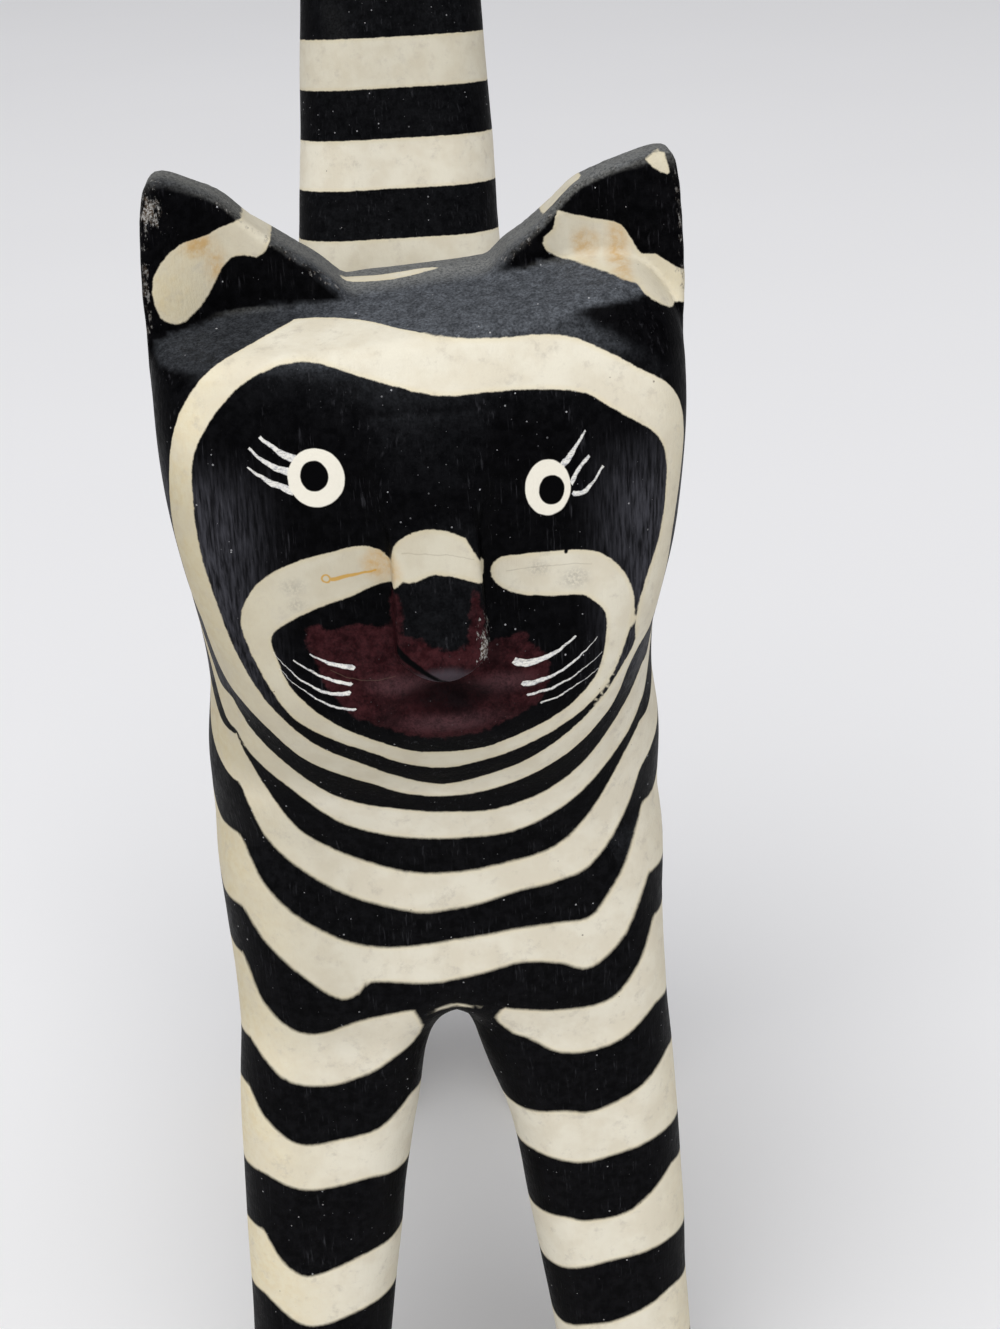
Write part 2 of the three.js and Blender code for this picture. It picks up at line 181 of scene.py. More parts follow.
def face_depth(x, z):
    side = x / HEAD.half_width
    brow = np.maximum(z - HEAD.brow_z, 0) / (HEAD.rim_z - HEAD.brow_z)
    jaw = np.maximum(HEAD.jaw_z - z, 0) / (HEAD.jaw_z - HEAD.chin_z)
    muzzle = MUZZLE.bulge * bump(x / MUZZLE.half_width, (z - MUZZLE.z) / MUZZLE.half_height)
    return HEAD.face_sweep * side**2 + HEAD.brow_sweep * brow**2 + HEAD.jaw_sweep * jaw**2 - muzzle


def mouth_hollow(x, z):
    u = np.minimum(np.abs(x - NOSE.x) / MOUTH.half_span, MOUTH.bend)
    line = MOUTH.apex_z - (MOUTH.apex_z - MOUTH.end_z) * u ** MOUTH.bend
    across = (z - line) / MOUTH.radius
    return MOUTH.depth * np.exp(-(across**2) - (u / MOUTH.fade_span) ** MOUTH.fade_power)


def shelf_z(x, y):
    rim = HEAD.rim_z + HEAD.shelf_tilt * x
    return rim + HEAD.shelf_rise * (np.minimum(y / HEAD.rim_y, 1) - 1)


def skull(x, y, z):
    d = cut(head_outline(x, z), face_depth(x, z) + mouth_hollow(x, z) - y, HEAD.edge_blend)
    slope = HEAD.back_slope * np.maximum(z - HEAD.nape_z, 0)
    d = cut(d, y - HEAD.back_y + slope, HEAD.back_blend)
    return cut(d, z - shelf_z(x, y), HEAD.rim_blend)


def ear(x, y, z, shape):
    out = shape.side * x
    rise = (z - EAR.base_z) / (EAR.tip_z - EAR.base_z)
    across = (out - EAR.middle_x) / EAR.spread
    hollow = EAR.hollow * bump(across, rise - EAR.hollow_rise)
    sweep = EAR.outer_sweep * np.maximum(across, 0) * (1 - rise)
    front = EAR.foot_y + (shape.tip_y - EAR.foot_y) * rise - sweep + hollow
    back = EAR.back_base_y + (EAR.back_tip_y - EAR.back_base_y) * rise
    rim = (z - follow(shape.edge, out)) * EAR.edge_scale
    d = cut(rim, out - follow(shape.outer, z), EAR.blend)
    d = cut(d, front - y, EAR.blend)
    d = cut(d, y - back, EAR.blend)
    d = cut(d, EAR.base_z - EAR.root_depth - z, EAR.root_blend)
    return cut(d, EAR.inner_x - out, EAR.root_blend)


def nose(x, y, z):
    u = x - NOSE.x
    fall = np.clip((NOSE.top_z - z) / (NOSE.top_z - NOSE.tip_z), 0, 1)
    half_width = NOSE.half_width + NOSE.flare * fall
    side = np.abs(u) / half_width
    reach = (NOSE.reach + NOSE.bridge) * fall ** NOSE.reach_power
    front = NOSE.bridge - reach + NOSE.crown * side**2
    lobe = NOSE.tip_z + NOSE.lobe_rise * side ** NOSE.lobe_power
    d = cut(np.abs(u) - half_width, front - y, NOSE.blend)
    d = cut(d, lobe - z - NOSE.undercut * (y + NOSE.reach), NOSE.blend)
    d = cut(d, y - NOSE.root_y, NOSE.root_blend)
    return cut(d, z - NOSE.top_z, NOSE.top_blend)


def neck(x, y, z):
    front, back = follow(NECK.front, z), follow(NECK.back, z)
    half_width = follow(NECK.half_width, z)
    d = rounded_section(x - NECK.x, y - (front + back) / 2, half_width, (back - front) / 2, NECK.radius)
    return cut(cut(d, z - NECK.top_z, NECK.end_blend), NECK.bottom_z - z, NECK.end_blend)


def torso(x, y, z):
    belly, back = follow(TORSO.belly, y), follow(TORSO.back, y)
    half_width = follow(TORSO.half_width, y)
    d = rounded_section(x - TORSO.x, z - (belly + back) / 2, half_width, (back - belly) / 2, TORSO.radius)
    return cut(cut(d, y - TORSO.rear_y, TORSO.rear_round), TORSO.front_y - y, TORSO.front_round)


def leg(x, y, z, shape):
    left, right = follow(LEG.gap_left, z), follow(LEG.gap_right, z)
    inner = left + (right - left) * np.clip(x / LEG.gap_turn + 0.5, 0, 1)
    outer = follow(LEG.outer, z)
    front, back = follow(shape.front, z), follow(shape.back, z)
    u = np.abs(x) - (inner + outer) / 2
    d = rounded_section(u, y - (front + back) / 2, (outer - inner) / 2, (back - front) / 2, LEG.radius)
    return cut(d, z - LEG.top_z, LEG.top_blend)


def tail(x, y, z):
    depth = follow(TAIL.depth, z)
    u = x - TAIL.lean * (z - TAIL.base_z)
    v = y - follow(TAIL.front, z) - depth / 2
    d = rounded_section(u, v, follow(TAIL.half_width, z), depth / 2, TAIL.radius)
    return cut(cut(d, z - TAIL.top_z, TAIL.top_round), TAIL.base_z - z, TAIL.base_blend)


def tool_marks(x, y, z):
    """The unevenness that a knife and a rasp leave: two waves, turned along every axis."""
    long_waves = np.sin(0.31 * x + 0.8 * np.sin(0.11 * z)) * np.sin(0.17 * z + 0.13 * y + 1.1)
    short_waves = np.sin(0.83 * x + 0.4 * y) * np.sin(0.37 * z - 0.5 * y + 0.7)
    return TOOL_MARKS.long * long_waves + TOOL_MARKS.short * short_waves


def cat(x, y, z):
    """Signed distance to the whole cat, negative inside the wood."""
    body = join(neck(x, y, z), torso(x, y, z), BLEND.shoulder)
    for shape in LEGS:
        body = join(body, leg(x, y, z, shape), BLEND.leg)
    body = join(body, tail(x, y, z), BLEND.tail)
    head = skull(x, y, z)
    for shape in EARS:
        head = join(head, ear(x, y, z, shape), BLEND.ear)
    head = join(head, nose(x, y, z), NOSE.blend + follow(NOSE.soft, z))
    whole = join(body, head, BLEND.chin) + tool_marks(x, y, z)
    return np.maximum(whole, LEG.saw_z - z)


# The skin: how far apart the planes of the grid are along each axis, as (place, step), how its
# points settle on the surface, and the room kept inside the solid's box, in metres.
GRID = dict(
    x=[(-34, 0.75), (34, 0.75)],
    y=[(-9, 0.7), (22, 0.8), (34, 1.5), (150, 1.6)],
    z=[(-2.1, 1.6), (104, 1.6), (114, 0.72), (188, 0.72), (196, 1.8), (240, 1.8)],
)
SETTLE = Form(rounds=4, probe=0.02, flattest=0.05, margin=0.01)
CLEARANCE = 0.00004


def planes(spacing):
    places = [spacing[0][0]]
    starts, steps = np.array(spacing, float).T
    while places[-1] < starts[-1]:
        places.append(places[-1] + np.interp(places[-1], starts, steps))
    return np.array(places)


def gradient(points):
    probe = SETTLE.probe
    slopes = []
    for axis in range(3):
        step = np.zeros(3)
        step[axis] = probe
        slopes.append((cat(*(points + step).T) - cat(*(points - step).T)) / (2 * probe))
    return np.stack(slopes, 1)


def crossing_points(axes, value, cell):
    """The middle of the surface's crossings with the edges of each cell."""
    total = np.zeros((len(cell), 3))
    crossings = np.zeros(len(cell))
    for axis, a, b in np.ndindex(3, 2, 2):
        corner = np.insert([a, b], axis, 0)
        near, far = cell + corner, cell + corner + np.eye(3, dtype=int)[axis]
        v0, v1 = value[tuple(near.T)], value[tuple(far.T)]
        crossed = (v0 < 0) != (v1 < 0)
        share = np.where(crossed, v0 / np.where(crossed, v0 - v1, 1), 0)[:, None]
        p0 = np.stack([axes[n][near[:, n]] for n in range(3)], 1)
        p1 = np.stack([axes[n][far[:, n]] for n in range(3)], 1)
        total += (p0 + (p1 - p0) * share) * crossed[:, None]
        crossings += crossed
    return total / crossings[:, None]


def settled(points, axes, cell):
    """The points moved onto the surface, each kept within its own cell."""
    low = np.stack([axes[n][cell[:, n]] for n in range(3)], 1)
    high = np.stack([axes[n][cell[:, n] + 1] for n in range(3)], 1)
    margin = (high - low) * SETTLE.margin
    for _ in range(SETTLE.rounds):
        slope = gradient(points)
        steep = np.maximum((slope**2).sum(1), SETTLE.flattest)
        points = np.clip(points - slope * (cat(*points.T) / steep)[:, None], low + margin, high - margin)
    return points


def quads_around(axis, inside, vertex_of):
    """A quad around every edge along one axis that crosses the surface, facing outwards."""
    u, v = (axis + 1) % 3, (axis + 2) % 3
    near = [slice(None)] * 3
    far = [slice(None)] * 3
    near[axis], far[axis] = slice(0, -1), slice(1, None)
    edge = np.stack(np.nonzero(inside[tuple(near)] != inside[tuple(far)]), 1)
    edge = edge[(edge[:, u] > 0) & (edge[:, v] > 0)]
    ring = []
    for p, q in ((0, 0), (1, 0), (1, 1), (0, 1)):
        corner = edge.copy()
        corner[:, u] -= p
        corner[:, v] -= q
        ring.append(vertex_of[tuple(corner.T)])
    ring = np.stack(ring, 1)
    outward = inside[tuple(edge.T)]
    return np.where(outward[:, None], ring, ring[:, ::-1])


def skin():
    """Vertices and triangles where the distance is zero: one vertex in every crossed cell of the
    grid, and a quad around every crossed edge, halved along its shorter diagonal."""
    axes = [planes(GRID[name]) for name in "xyz"]
    value = cat(axes[0][:, None, None], axes[1][None, :, None], axes[2][None, None, :])
    inside = value < 0
    shape = np.array(inside.shape)
    corners_inside = sum(
        inside[a : a + shape[0] - 1, b : b + shape[1] - 1, c : c + shape[2] - 1].astype(int)
        for a, b, c in np.ndindex(2, 2, 2)
    )
    cell = np.stack(np.nonzero((corners_inside > 0) & (corners_inside < 8)), 1)
    points = settled(crossing_points(axes, value, cell), axes, cell)
    vertex_of = np.full(shape, -1)
    vertex_of[tuple(cell.T)] = np.arange(len(cell))
    quads = np.concatenate([quads_around(axis, inside, vertex_of) for axis in range(3)])
    a, b, c, d = (points[quads[:, n]] for n in range(4))
    first = np.linalg.norm(a - c, axis=1) < np.linalg.norm(b - d, axis=1)
    order = np.where(first[:, None], [0, 1, 2, 0, 2, 3], [1, 2, 3, 1, 3, 0])
    return points, np.take_along_axis(quads, order, 1).reshape(-1, 3)


# The paint. Places on it are in the carver's millimetres, and a stroke is a list of (across, up,
# half width) along its middle. Across is measured round the cheek, as the brush goes.
CHEEK = Form(turn_x=14, turn_y=4, stretch=0.8)
FACE_REACH = Form(low_z=104, back_y=30, fade_y=14, ear_y=23, fade=2)
MAROON_REACH = Form(fade_y=8, fade=2)
# Strokes are followed in steps of this length, slopes are measured over this reach, and a place
# at least this far outside a paint counts as far.
STEP = 0.3
PROBE = 0.3
FAR = 6.0
# The reach over which the wood's turning is measured
TURN_REACH = 0.9
FACE_BAND = [
    (2, 164.7, 2.85), (-4.5, 166.2, 2.6), (-11.3, 167.8, 2.1), (-16, 167.6, 2.2), (-20.6, 165, 1.8),
    (-24.4, 160.8, 1.6), (-26.7, 156.4, 1.55), (-28, 150.2, 2.25), (-28.3, 144.2, 2.9),
    (-27.6, 138.6, 3.3), (-27, 132, 4.4), (-22.6, 126.9, 2.4), (-19.8, 124, 1.75), (-15.5, 119.6, 1.65),
    (-9, 115.7, 1.65), (-5.1, 113.4, 1.5), (-0.6, 112, 1.15), (4.8, 112.5, 1.5), (9.4, 114.2, 1.7),
    (15.2, 118.5, 1.7), (19.4, 122.6, 1.7), (21.6, 127.3, 0.85), (23.4, 130.2, 1), (25.2, 133.4, 2.6),
    (26.3, 136.8, 2.8), (27.3, 143, 1.75), (28.6, 150, 2.05), (28.4, 154.5, 2.4), (26.8, 157.4, 2.55),
    (22.2, 160.6, 2.5), (18.7, 162.8, 2.4), (14.9, 164.1, 2.75), (7.7, 164.5, 2.65),
]
# How far back the face band reaches over the top of the head, as (x, y).
BAND_CREST = [
    (-24, 14), (-21.3, 8), (-19.8, 7.1), (-18.3, 9.5), (-15.2, 11.5), (-13.6, 12), (-10.5, 11.5),
    (-7.5, 10.2), (-4.5, 8.4), (-1.5, 5.9), (0.5, 4.6), (3, 5), (20, 6), (26, 14),
]
MUZZLE_BAND = [
    (-5, 142.7, 1.3), (-7.4, 143.1, 2.4), (-10.3, 142.3, 2.75), (-14.3, 141.1, 2.9), (-17.7, 139.3, 2.75),
    (-19.7, 136.9, 2), (-19.9, 134.5, 1.4), (-19.2, 132.1, 1.25), (-18, 128.9, 1.1), (-15.8, 125.7, 1.3),
    (-12.7, 123.3, 1.15), (-8, 120.8, 1), (-3.5, 118.6, 1.25), (0.6, 117.9, 1.45), (4.6, 118.4, 1.15),
    (8.6, 119.9, 1.05), (13.1, 122.2, 0.95), (16.3, 124.4, 0.95), (18.8, 127.5, 1), (20.15, 131.3, 1.25),
    (20.7, 135.6, 1.75), (19.5, 138.3, 2.25), (17.3, 140.2, 2.6), (13, 140.7, 2.6), (9.6, 141, 2.3),
    (7.75, 141.6, 1.65),
]
NOSE_PATCH = [
    (-4.7, 143.9), (-4.4, 145.9), (-3.4, 147), (-1.7, 147.7), (0.1, 147.8), (2, 147.4), (3.6, 146.5),
    (4.4, 145), (5.5, 143.2), (5.5, 141.6), (4.8, 141.6), (3.6, 142.1), (1.7, 142.7), (0.2, 143),
    (-1.1, 142.7), (-2.4, 142.1), (-3.5, 142.3), (-4.5, 142.8),
]
EAR_PATCHES = [
    [
        (-18.4, 178.7), (-19.5, 181), (-15, 178.6), (-15, 176.8), (-15.3, 176.5), (-16.1, 175),
        (-17.1, 174.4), (-18.3, 174.7), (-19.7, 174.7), (-20.4, 174), (-21.2, 173.3), (-21.8, 172.1),
        (-22.7, 170.7), (-24, 169.2), (-25.5, 168.1), (-26.7, 168.1), (-28, 168.9), (-28.5, 170.5),
        (-28.7, 171.9), (-28.4, 173.5), (-27.6, 174.7), (-26.6, 175.7), (-25.1, 176.7), (-23.9, 176.9),
        (-22.2, 177.3), (-20.8, 178),
    ],
    [
        (16.3, 177.6), (18.3, 176.9), (20.8, 176.3), (22.6, 176), (23.6, 175.5), (24.4, 174.3),
        (25.4, 172.5), (27, 172.5), (29.3, 171.1), (31.5, 170.4), (31.5, 166.8), (29.5, 167.4),
        (28, 167.6), (25.7, 169.1), (24.7, 170), (24.5, 170.6), (22, 171.3), (19.2, 171.8), (16.2, 172.4),
        (15.1, 173.1), (14.4, 174.6), (15.9, 175.5),
    ],
    [
        (26.2, 182.8), (28.4, 183.6), (29, 180.9), (27.9, 181.3), (26.8, 182),
    ],
]
# Cream on the edges behind the ears and the shelf, as (x, y) seen from above, and how far under the
# shelf's rim that on the shelf goes.
RIM_STRIP = Form(low_x=14.9, high_x=19.4, front_y=18.0)
SHELF_STROKE_DROP = 2
SHELF_STROKE = [
    (-8, 20.3, 0.15), (-7, 19.4, 0.85), (-5, 18.7, 0.85), (-3, 18.4, 0.75), (-1, 18.4, 0.75),
    (0.5, 18.6, 0.7), (2.1, 18.9, 0.5), (3.2, 19, 0.1),
]
# Dust, and a painted highlight of the light from above, lie on what looks up, by the upward share
# of its normal. The fronts of the ears, outlined as (x, z), are kept clear of both but for their rims.
DUST_AND_SHEEN = Form(lies=(0.05, 0.7), rim=(0.62, 0.8), wiped_edge=(-0.8, 0.8))
EAR_FRONTS = [
    [
        (-8.5, 173.5), (-12, 171), (-18, 168.6), (-23, 165.6), (-26, 162.6), (-31.5, 161), (-32, 186),
        (-9, 176),
    ],
    [
        (9.5, 173.5), (13, 170.6), (18, 168), (23, 165), (27, 162.5), (31.5, 161), (32, 186), (10, 177),
    ],
]
CROWN_BAND = Form(front_y=23.2, low_z=163, half_x=13)
MAROON = [
    (-14.8, 136.3), (-13.3, 136.4), (-11.9, 135.8), (-9, 136.4), (-6.1, 135.9), (-5.1, 136.2),
    (-5.1, 139.5), (-4.4, 141.2), (-3.6, 139.7), (-4.1, 136.3), (-2.2, 136.3), (-0.9, 135.4),
    (0.5, 134.7), (3, 135), (3.4, 137), (3.7, 139.8), (4, 140.9), (4.5, 140.8), (4.9, 139), (5.2, 136.7),
    (5.5, 133.6), (8.4, 133.9), (9.9, 134.3), (10, 133.1), (12.3, 130.9), (12.2, 128), (11, 125.5),
    (8, 123.9), (4.9, 122.4), (1, 121.7), (-2.2, 122.2), (-5.7, 123.2), (-9.2, 124.9), (-11.4, 127),
    (-12.9, 129.6), (-13.7, 131.7), (-14.4, 133.9),
]
# The rings of the chest and the front legs, from the throat down. Each edge is a list of (x, z)
# across the front. From the corner of the chest it climbs the flank by `slope`.
RINGS = [
    Form(corner=13, top_slope=5, bottom_slope=3.2, top=[
        (-24, 124.4), (-22, 120.9), (-18.4, 116.9), (-12.4, 111.3), (-5.4, 108.8), (4, 107.4), (9, 108.4),
        (13.8, 111.3), (17.4, 114.9), (22, 121.1), (24, 124.4),
    ], bottom=[
        (-24, 119.4), (-22.5, 116.9), (-18.7, 113.2), (-12.6, 107.3), (-5.6, 104.4), (4, 103.5),
        (8.9, 104.2), (13.8, 107), (17.5, 110.1), (22, 115.4), (24, 118.4),
    ]),
    Form(corner=14, top_slope=1.3, bottom_slope=1.1, top=[
        (-24, 118.9), (-22.7, 115.8), (-19.1, 108.5), (-16.4, 105.2), (-9.4, 101.1), (-1, 98.9),
        (8.7, 100.1), (13.7, 101.9), (17.5, 105.8), (22, 113.2), (24, 116.4),
    ], bottom=[
        (-24.3, 111.7), (-21.8, 104.8), (-16.8, 99.9), (-9.8, 95.8), (-1.3, 93.6), (8.6, 95.9),
        (13.5, 96.9), (17.3, 98.4), (22, 103.9), (24.1, 108.4),
    ]),
    Form(corner=20, top_slope=1, bottom_slope=0.9, top=[
        (-25, 103.9), (-22.4, 98.3), (-17.3, 93.1), (-10.2, 89.6), (-1.5, 89.2), (3.5, 89.9), (8.4, 90.6),
        (13.3, 90.9), (17, 91.1), (19.7, 94.4), (21.7, 97.7), (24.5, 103.9),
    ], bottom=[
        (-25.4, 94.4), (-23, 90.3), (-17.9, 85), (-14.3, 82.4), (-12, 83), (-10.8, 84.5), (-1.8, 83.5),
        (3.5, 84.6), (8.2, 85.8), (13.2, 85.1), (16.9, 83.9), (21.5, 87.9), (24.8, 94.9),
    ]),
    Form(corner=23, top_slope=0.8, bottom_slope=0, top=[
        (-26, 86.9), (-23.8, 80.9), (-18.5, 76.9), (-10.8, 79.1), (0, 79.8), (13, 78), (19.4, 78.8),
        (23.4, 83.3), (25.5, 88.4),
    ], bottom=[
        (-26.2, 75), (-22.1, 70), (-17, 68.6), (-11.4, 70.1), (-7.4, 72.4), (0, 75.4), (7.9, 74.1),
        (12.9, 71.1), (19.3, 71.6), (25.5, 76),
    ]),
    Form(corner=20, top_slope=0, bottom_slope=0, top=[
        (-27, 67.5), (-25.2, 63.6), (-21, 59.8), (-15.9, 60), (-10.5, 61.3), (-7.9, 63.2), (-6, 64.6),
        (7.6, 61.6), (12.6, 61.9), (16.5, 61.4), (23, 64.3), (27, 67.9),
    ], bottom=[
        (-26, 54.7), (-20.3, 52.5), (-12.4, 53.6), (-8.5, 53), (8, 54.6), (12, 54), (16.3, 53.5),
        (22.9, 55.4), (27, 56.4),
    ]),
    Form(corner=20, top_slope=0, bottom_slope=0, top=[
        (-27, 45.2), (-24.5, 40.6), (-21.3, 38.5), (-13.2, 41.4), (12.2, 44.3), (16.1, 43.9),
        (20.8, 44.7), (23.9, 47.1), (27.2, 50.3),
    ], bottom=[
        (-27.6, 34.6), (-21.9, 30.4), (-13.7, 32.3), (12, 35.3), (15.9, 36.5), (24.8, 38.4), (27, 38.8),
    ]),
    Form(corner=20, top_slope=0, bottom_slope=0, top=[
        (-27, 24.9), (-21, 21.9), (-12, 23.4), (11.9, 25), (15.7, 26.4), (20.4, 27.4), (26.8, 30.6),
    ], bottom=[
        (-27, 15.9), (-21, 13.4), (-12, 14.4), (12, 16.4), (20, 18.9), (27, 20.4),
    ]),
    Form(corner=20, top_slope=0, bottom_slope=0, top=[
        (-27, 7.9), (-21, 5.4), (-12, 6.4), (12, 7.9), (20, 9.9), (27, 10.9),
    ], bottom=[
        (-27, -3.6), (27, -3.6),
    ]),
]
# The rings down to this one belong to the chest, and those after it to the legs.
SHOULDER_RING = 3
# The ring over the crotch breaks there, and leaves a sliver of cream under the black.
CROTCH_RING = 3
CROTCH = [
    (-5.6, 80.5), (-4.6, 77.6), (-4.3, 75.9), (-4.7, 74.6), (-5.8, 73.2), (-7.4, 71.7), (-6.5, 64),
    (6.5, 64), (8.4, 73.3), (6.6, 74.8), (5.3, 76.1), (4.8, 77.3), (5.6, 78.6), (6.4, 80.5),
]
SLIVER = [(-3.6, 78.7, 0.1), (-1, 79.1, 0.35), (3, 79, 0.1)]
# Behind the chest a ring's edge levels out to its height at the sides. The two sides' heights meet
# between these x, the levelling runs between these y, and the turn onto the flank is this round.
RING_SIDE_X = 24.5
RING_MEETS_X = 16
RING_LEVELS = (18, 34)
FLANK_ROUND = 1
# The rings of the trunk are cut by planes that stand across it, and swing round the foot of the
# tail like a fan until they lie level, as the rings of the tail do.
TRUNK = Form(
    first_y=29, pitch=7, belly_z=76, back_y=[71, 78, 83, 88, 92.5, 95, 97], back_z=128,
    pivot=(97, 134), hub=7, fan_edges=13, floor_z=78,
)
TAIL_RINGS = Form(middle_z=179.7, pitch=14.6, half=3.65, tilt=0.1, tilt_y=110, from_y=85)


def unrolled(x, y):
    turn = np.clip(x / CHEEK.turn_x, -1, 1) * CHEEK.stretch
    return x + turn * np.maximum(y - CHEEK.turn_y, 0)


def brushed(stroke, across, up, closed=False):
    """How far inside a brush stroke each place is; negative outside it."""
    middle = np.array(stroke, float)
    if closed:
        middle = np.concatenate([middle[-1:], middle, middle[:2]])
    run = np.append(0, np.cumsum(np.hypot(*np.diff(middle[:, :2], axis=0).T)))
    ends = (run[1], run[-2]) if closed else (run[0], run[-1])
    places = np.arange(*ends, STEP)
    track = [follow(list(zip(run, column)), places) for column in middle.T]
    depth = np.full(across.shape, -FAR)
    for a, b, half in zip(*track):
        depth = np.maximum(depth, half - np.hypot(across - a, up - b))
    return depth


def outlined(outline, across, up):
    """How far inside a closed outline of straight runs each place is; negative outside it."""
    corners = np.array(outline, float)
    distance = np.full(across.shape, FAR)
    inside = np.zeros(across.shape, bool)
    for (a0, b0), (a1, b1) in zip(corners, np.roll(corners, -1, 0)):
        t = ((across - a0) * (a1 - a0) + (up - b0) * (b1 - b0)) / ((a1 - a0) ** 2 + (b1 - b0) ** 2)
        t = np.clip(t, 0, 1)
        distance = np.minimum(distance, np.hypot(across - a0 - t * (a1 - a0), up - b0 - t * (b1 - b0)))
        if b0 != b1:
            inside ^= ((b0 > up) != (b1 > up)) & (across < a0 + (up - b0) * (a1 - a0) / (b1 - b0))
    return np.where(inside, distance, -distance)


def smooth(low, high, value):
    t = np.clip((value - low) / (high - low), 0, 1)
    return t * t * (3 - 2 * t)


def face_paint(x, y, z):
    across = unrolled(x, y)
    bands = brushed(FACE_BAND, across, z, closed=True)
    bands = np.where(z > HEAD.cheek_z, np.minimum(bands, follow(BAND_CREST, x) - y), bands)
    bands = np.maximum(bands, brushed(MUZZLE_BAND, across, z))
    bands = np.maximum(bands, outlined(NOSE_PATCH, x, z))
    bands = bands - FACE_REACH.fade * np.maximum(y - FACE_REACH.fade_y, 0)
    ears = np.full(x.shape, -FAR)
    for patch in EAR_PATCHES:
        ears = np.maximum(ears, outlined(patch, x, z))
    ears = ears - FACE_REACH.fade * np.maximum(y - FACE_REACH.ear_y, 0)
    strip = np.minimum(x - RIM_STRIP.low_x, RIM_STRIP.high_x - x)
    strip = np.minimum.reduce([strip, y - RIM_STRIP.front_y, z - HEAD.rim_z])
    shelf = np.minimum(brushed(SHELF_STROKE, x, y), z - HEAD.rim_z + SHELF_STROKE_DROP)
    crown = np.minimum(CROWN_BAND.half_x - np.abs(x), y - CROWN_BAND.front_y)
    crown = np.minimum(crown, z - CROWN_BAND.low_z)
    return np.maximum.reduce([bands, ears, strip, shelf, crown])


def edge_height(edge, slope, corner, x, y):
    """Height at which the edge of a ring passes a place on the front half of the cat."""
    left, right = (follow(edge, np.array([place]))[0] for place in (-RING_SIDE_X, RING_SIDE_X))
    side = left + (right - left) * smooth(-RING_MEETS_X, RING_MEETS_X, x)
    front = follow(edge, x)
    past = y - corner
    climb = slope * (np.hypot(past, FLANK_ROUND) + past) / 2
    return front + (side - front) * smooth(*RING_LEVELS, y) + climb


def from_edge(edge, slope, corner, x, y, z):
    """Distance above a ring's edge, across the slope of that edge."""
    ahead, back = (edge_height(edge, slope, corner, x + step, y) for step in (PROBE, -PROBE))
    rise_x = ahead - back
    ahead, back = (edge_height(edge, slope, corner, x, y + step) for step in (PROBE, -PROBE))
    rise_y = ahead - back
    steep = np.sqrt(1 + (rise_x**2 + rise_y**2) / (2 * PROBE) ** 2)
    return (z - edge_height(edge, slope, corner, x, y)) / steep


def behind(edge, y, z):
    """Distance behind a plane across the trunk, given by (y, z) of two places on it."""
    (y0, z0), (y1, z1) = edge
    return ((y - y0) * (z1 - z0) - (z - z0) * (y1 - y0)) / math.hypot(y1 - y0, z1 - z0)


def trunk_edges():
    belly = [(TRUNK.first_y + n * TRUNK.pitch, TRUNK.belly_z) for n in range(len(TRUNK.back_y))]
    edges = [(low, (y, TRUNK.back_z)) for low, y in zip(belly, TRUNK.back_y)]
    pivot_y, pivot_z = TRUNK.pivot
    first = math.atan2(TRUNK.belly_z - pivot_z, edges[-1][0][0] - pivot_y)
    for n in range(1, TRUNK.fan_edges + 1):
        angle = first * (1 - n / TRUNK.fan_edges)
        edges.append(((pivot_y + math.cos(angle), pivot_z + math.sin(angle)), (pivot_y, pivot_z)))
    return edges


def front_rings(x, y, z, shoulder):
    """The rings of the chest and the front legs; those of the chest end at the shoulder's plane."""
    chest = np.full(x.shape, -FAR)
    legs = np.full(x.shape, -FAR)
    for number, ring in enumerate(RINGS):
        under_top = -from_edge(ring.top, ring.top_slope, ring.corner, x, y, z)
        over_bottom = from_edge(ring.bottom, ring.bottom_slope, ring.corner, x, y, z)
        band = np.minimum(under_top, over_bottom)
        if number == CROTCH_RING:
            band = np.minimum(band, -outlined(CROTCH, x, z))
            band = np.maximum(band, brushed(SLIVER, x, z))
        if number <= SHOULDER_RING:
            chest = np.maximum(chest, np.minimum(band, -behind(shoulder, y, z)))
        else:
            legs = np.maximum(legs, band)
    return np.maximum(np.where(y < TAIL_RINGS.from_y, chest, -FAR), legs)


def trunk_rings(y, z, edges):
    pivot_y, pivot_z = TRUNK.pivot
    rings = np.full(y.shape, -FAR)
    for ahead, after in zip(edges[1::2], edges[2::2]):
        rings = np.maximum(rings, np.minimum(behind(ahead, y, z), -behind(after, y, z)))
    rings = np.minimum(rings, np.minimum(z - TRUNK.floor_z, pivot_z - z))
    return np.minimum(rings, np.hypot(y - pivot_y, z - pivot_z) - TRUNK.hub)


def tail_rings(y, z):
    level = z + TAIL_RINGS.tilt * (y - TAIL_RINGS.tilt_y) - TAIL_RINGS.middle_z
    half_pitch = TAIL_RINGS.pitch / 2
    rings = TAIL_RINGS.half - np.abs((level + half_pitch) % TAIL_RINGS.pitch - half_pitch)
    return np.where((y > TAIL_RINGS.from_y) & (z > TRUNK.pivot[1]), rings, -FAR)


def ring_paint(x, y, z):
    edges = trunk_edges()
    front = front_rings(x, y, z, edges[0])
    return np.maximum.reduce([front, trunk_rings(y, z, edges), tail_rings(y, z)])


def sharpness(points):
    """How sharply the wood turns at each place, per millimetre; positive on outer edges."""
    total = -6 * cat(*points.T)
    for axis in range(3):
        step = np.zeros(3)
        step[axis] = TURN_REACH
        total = total + cat(*(points + step).T) + cat(*(points - step).T)
    return total / TURN_REACH**2


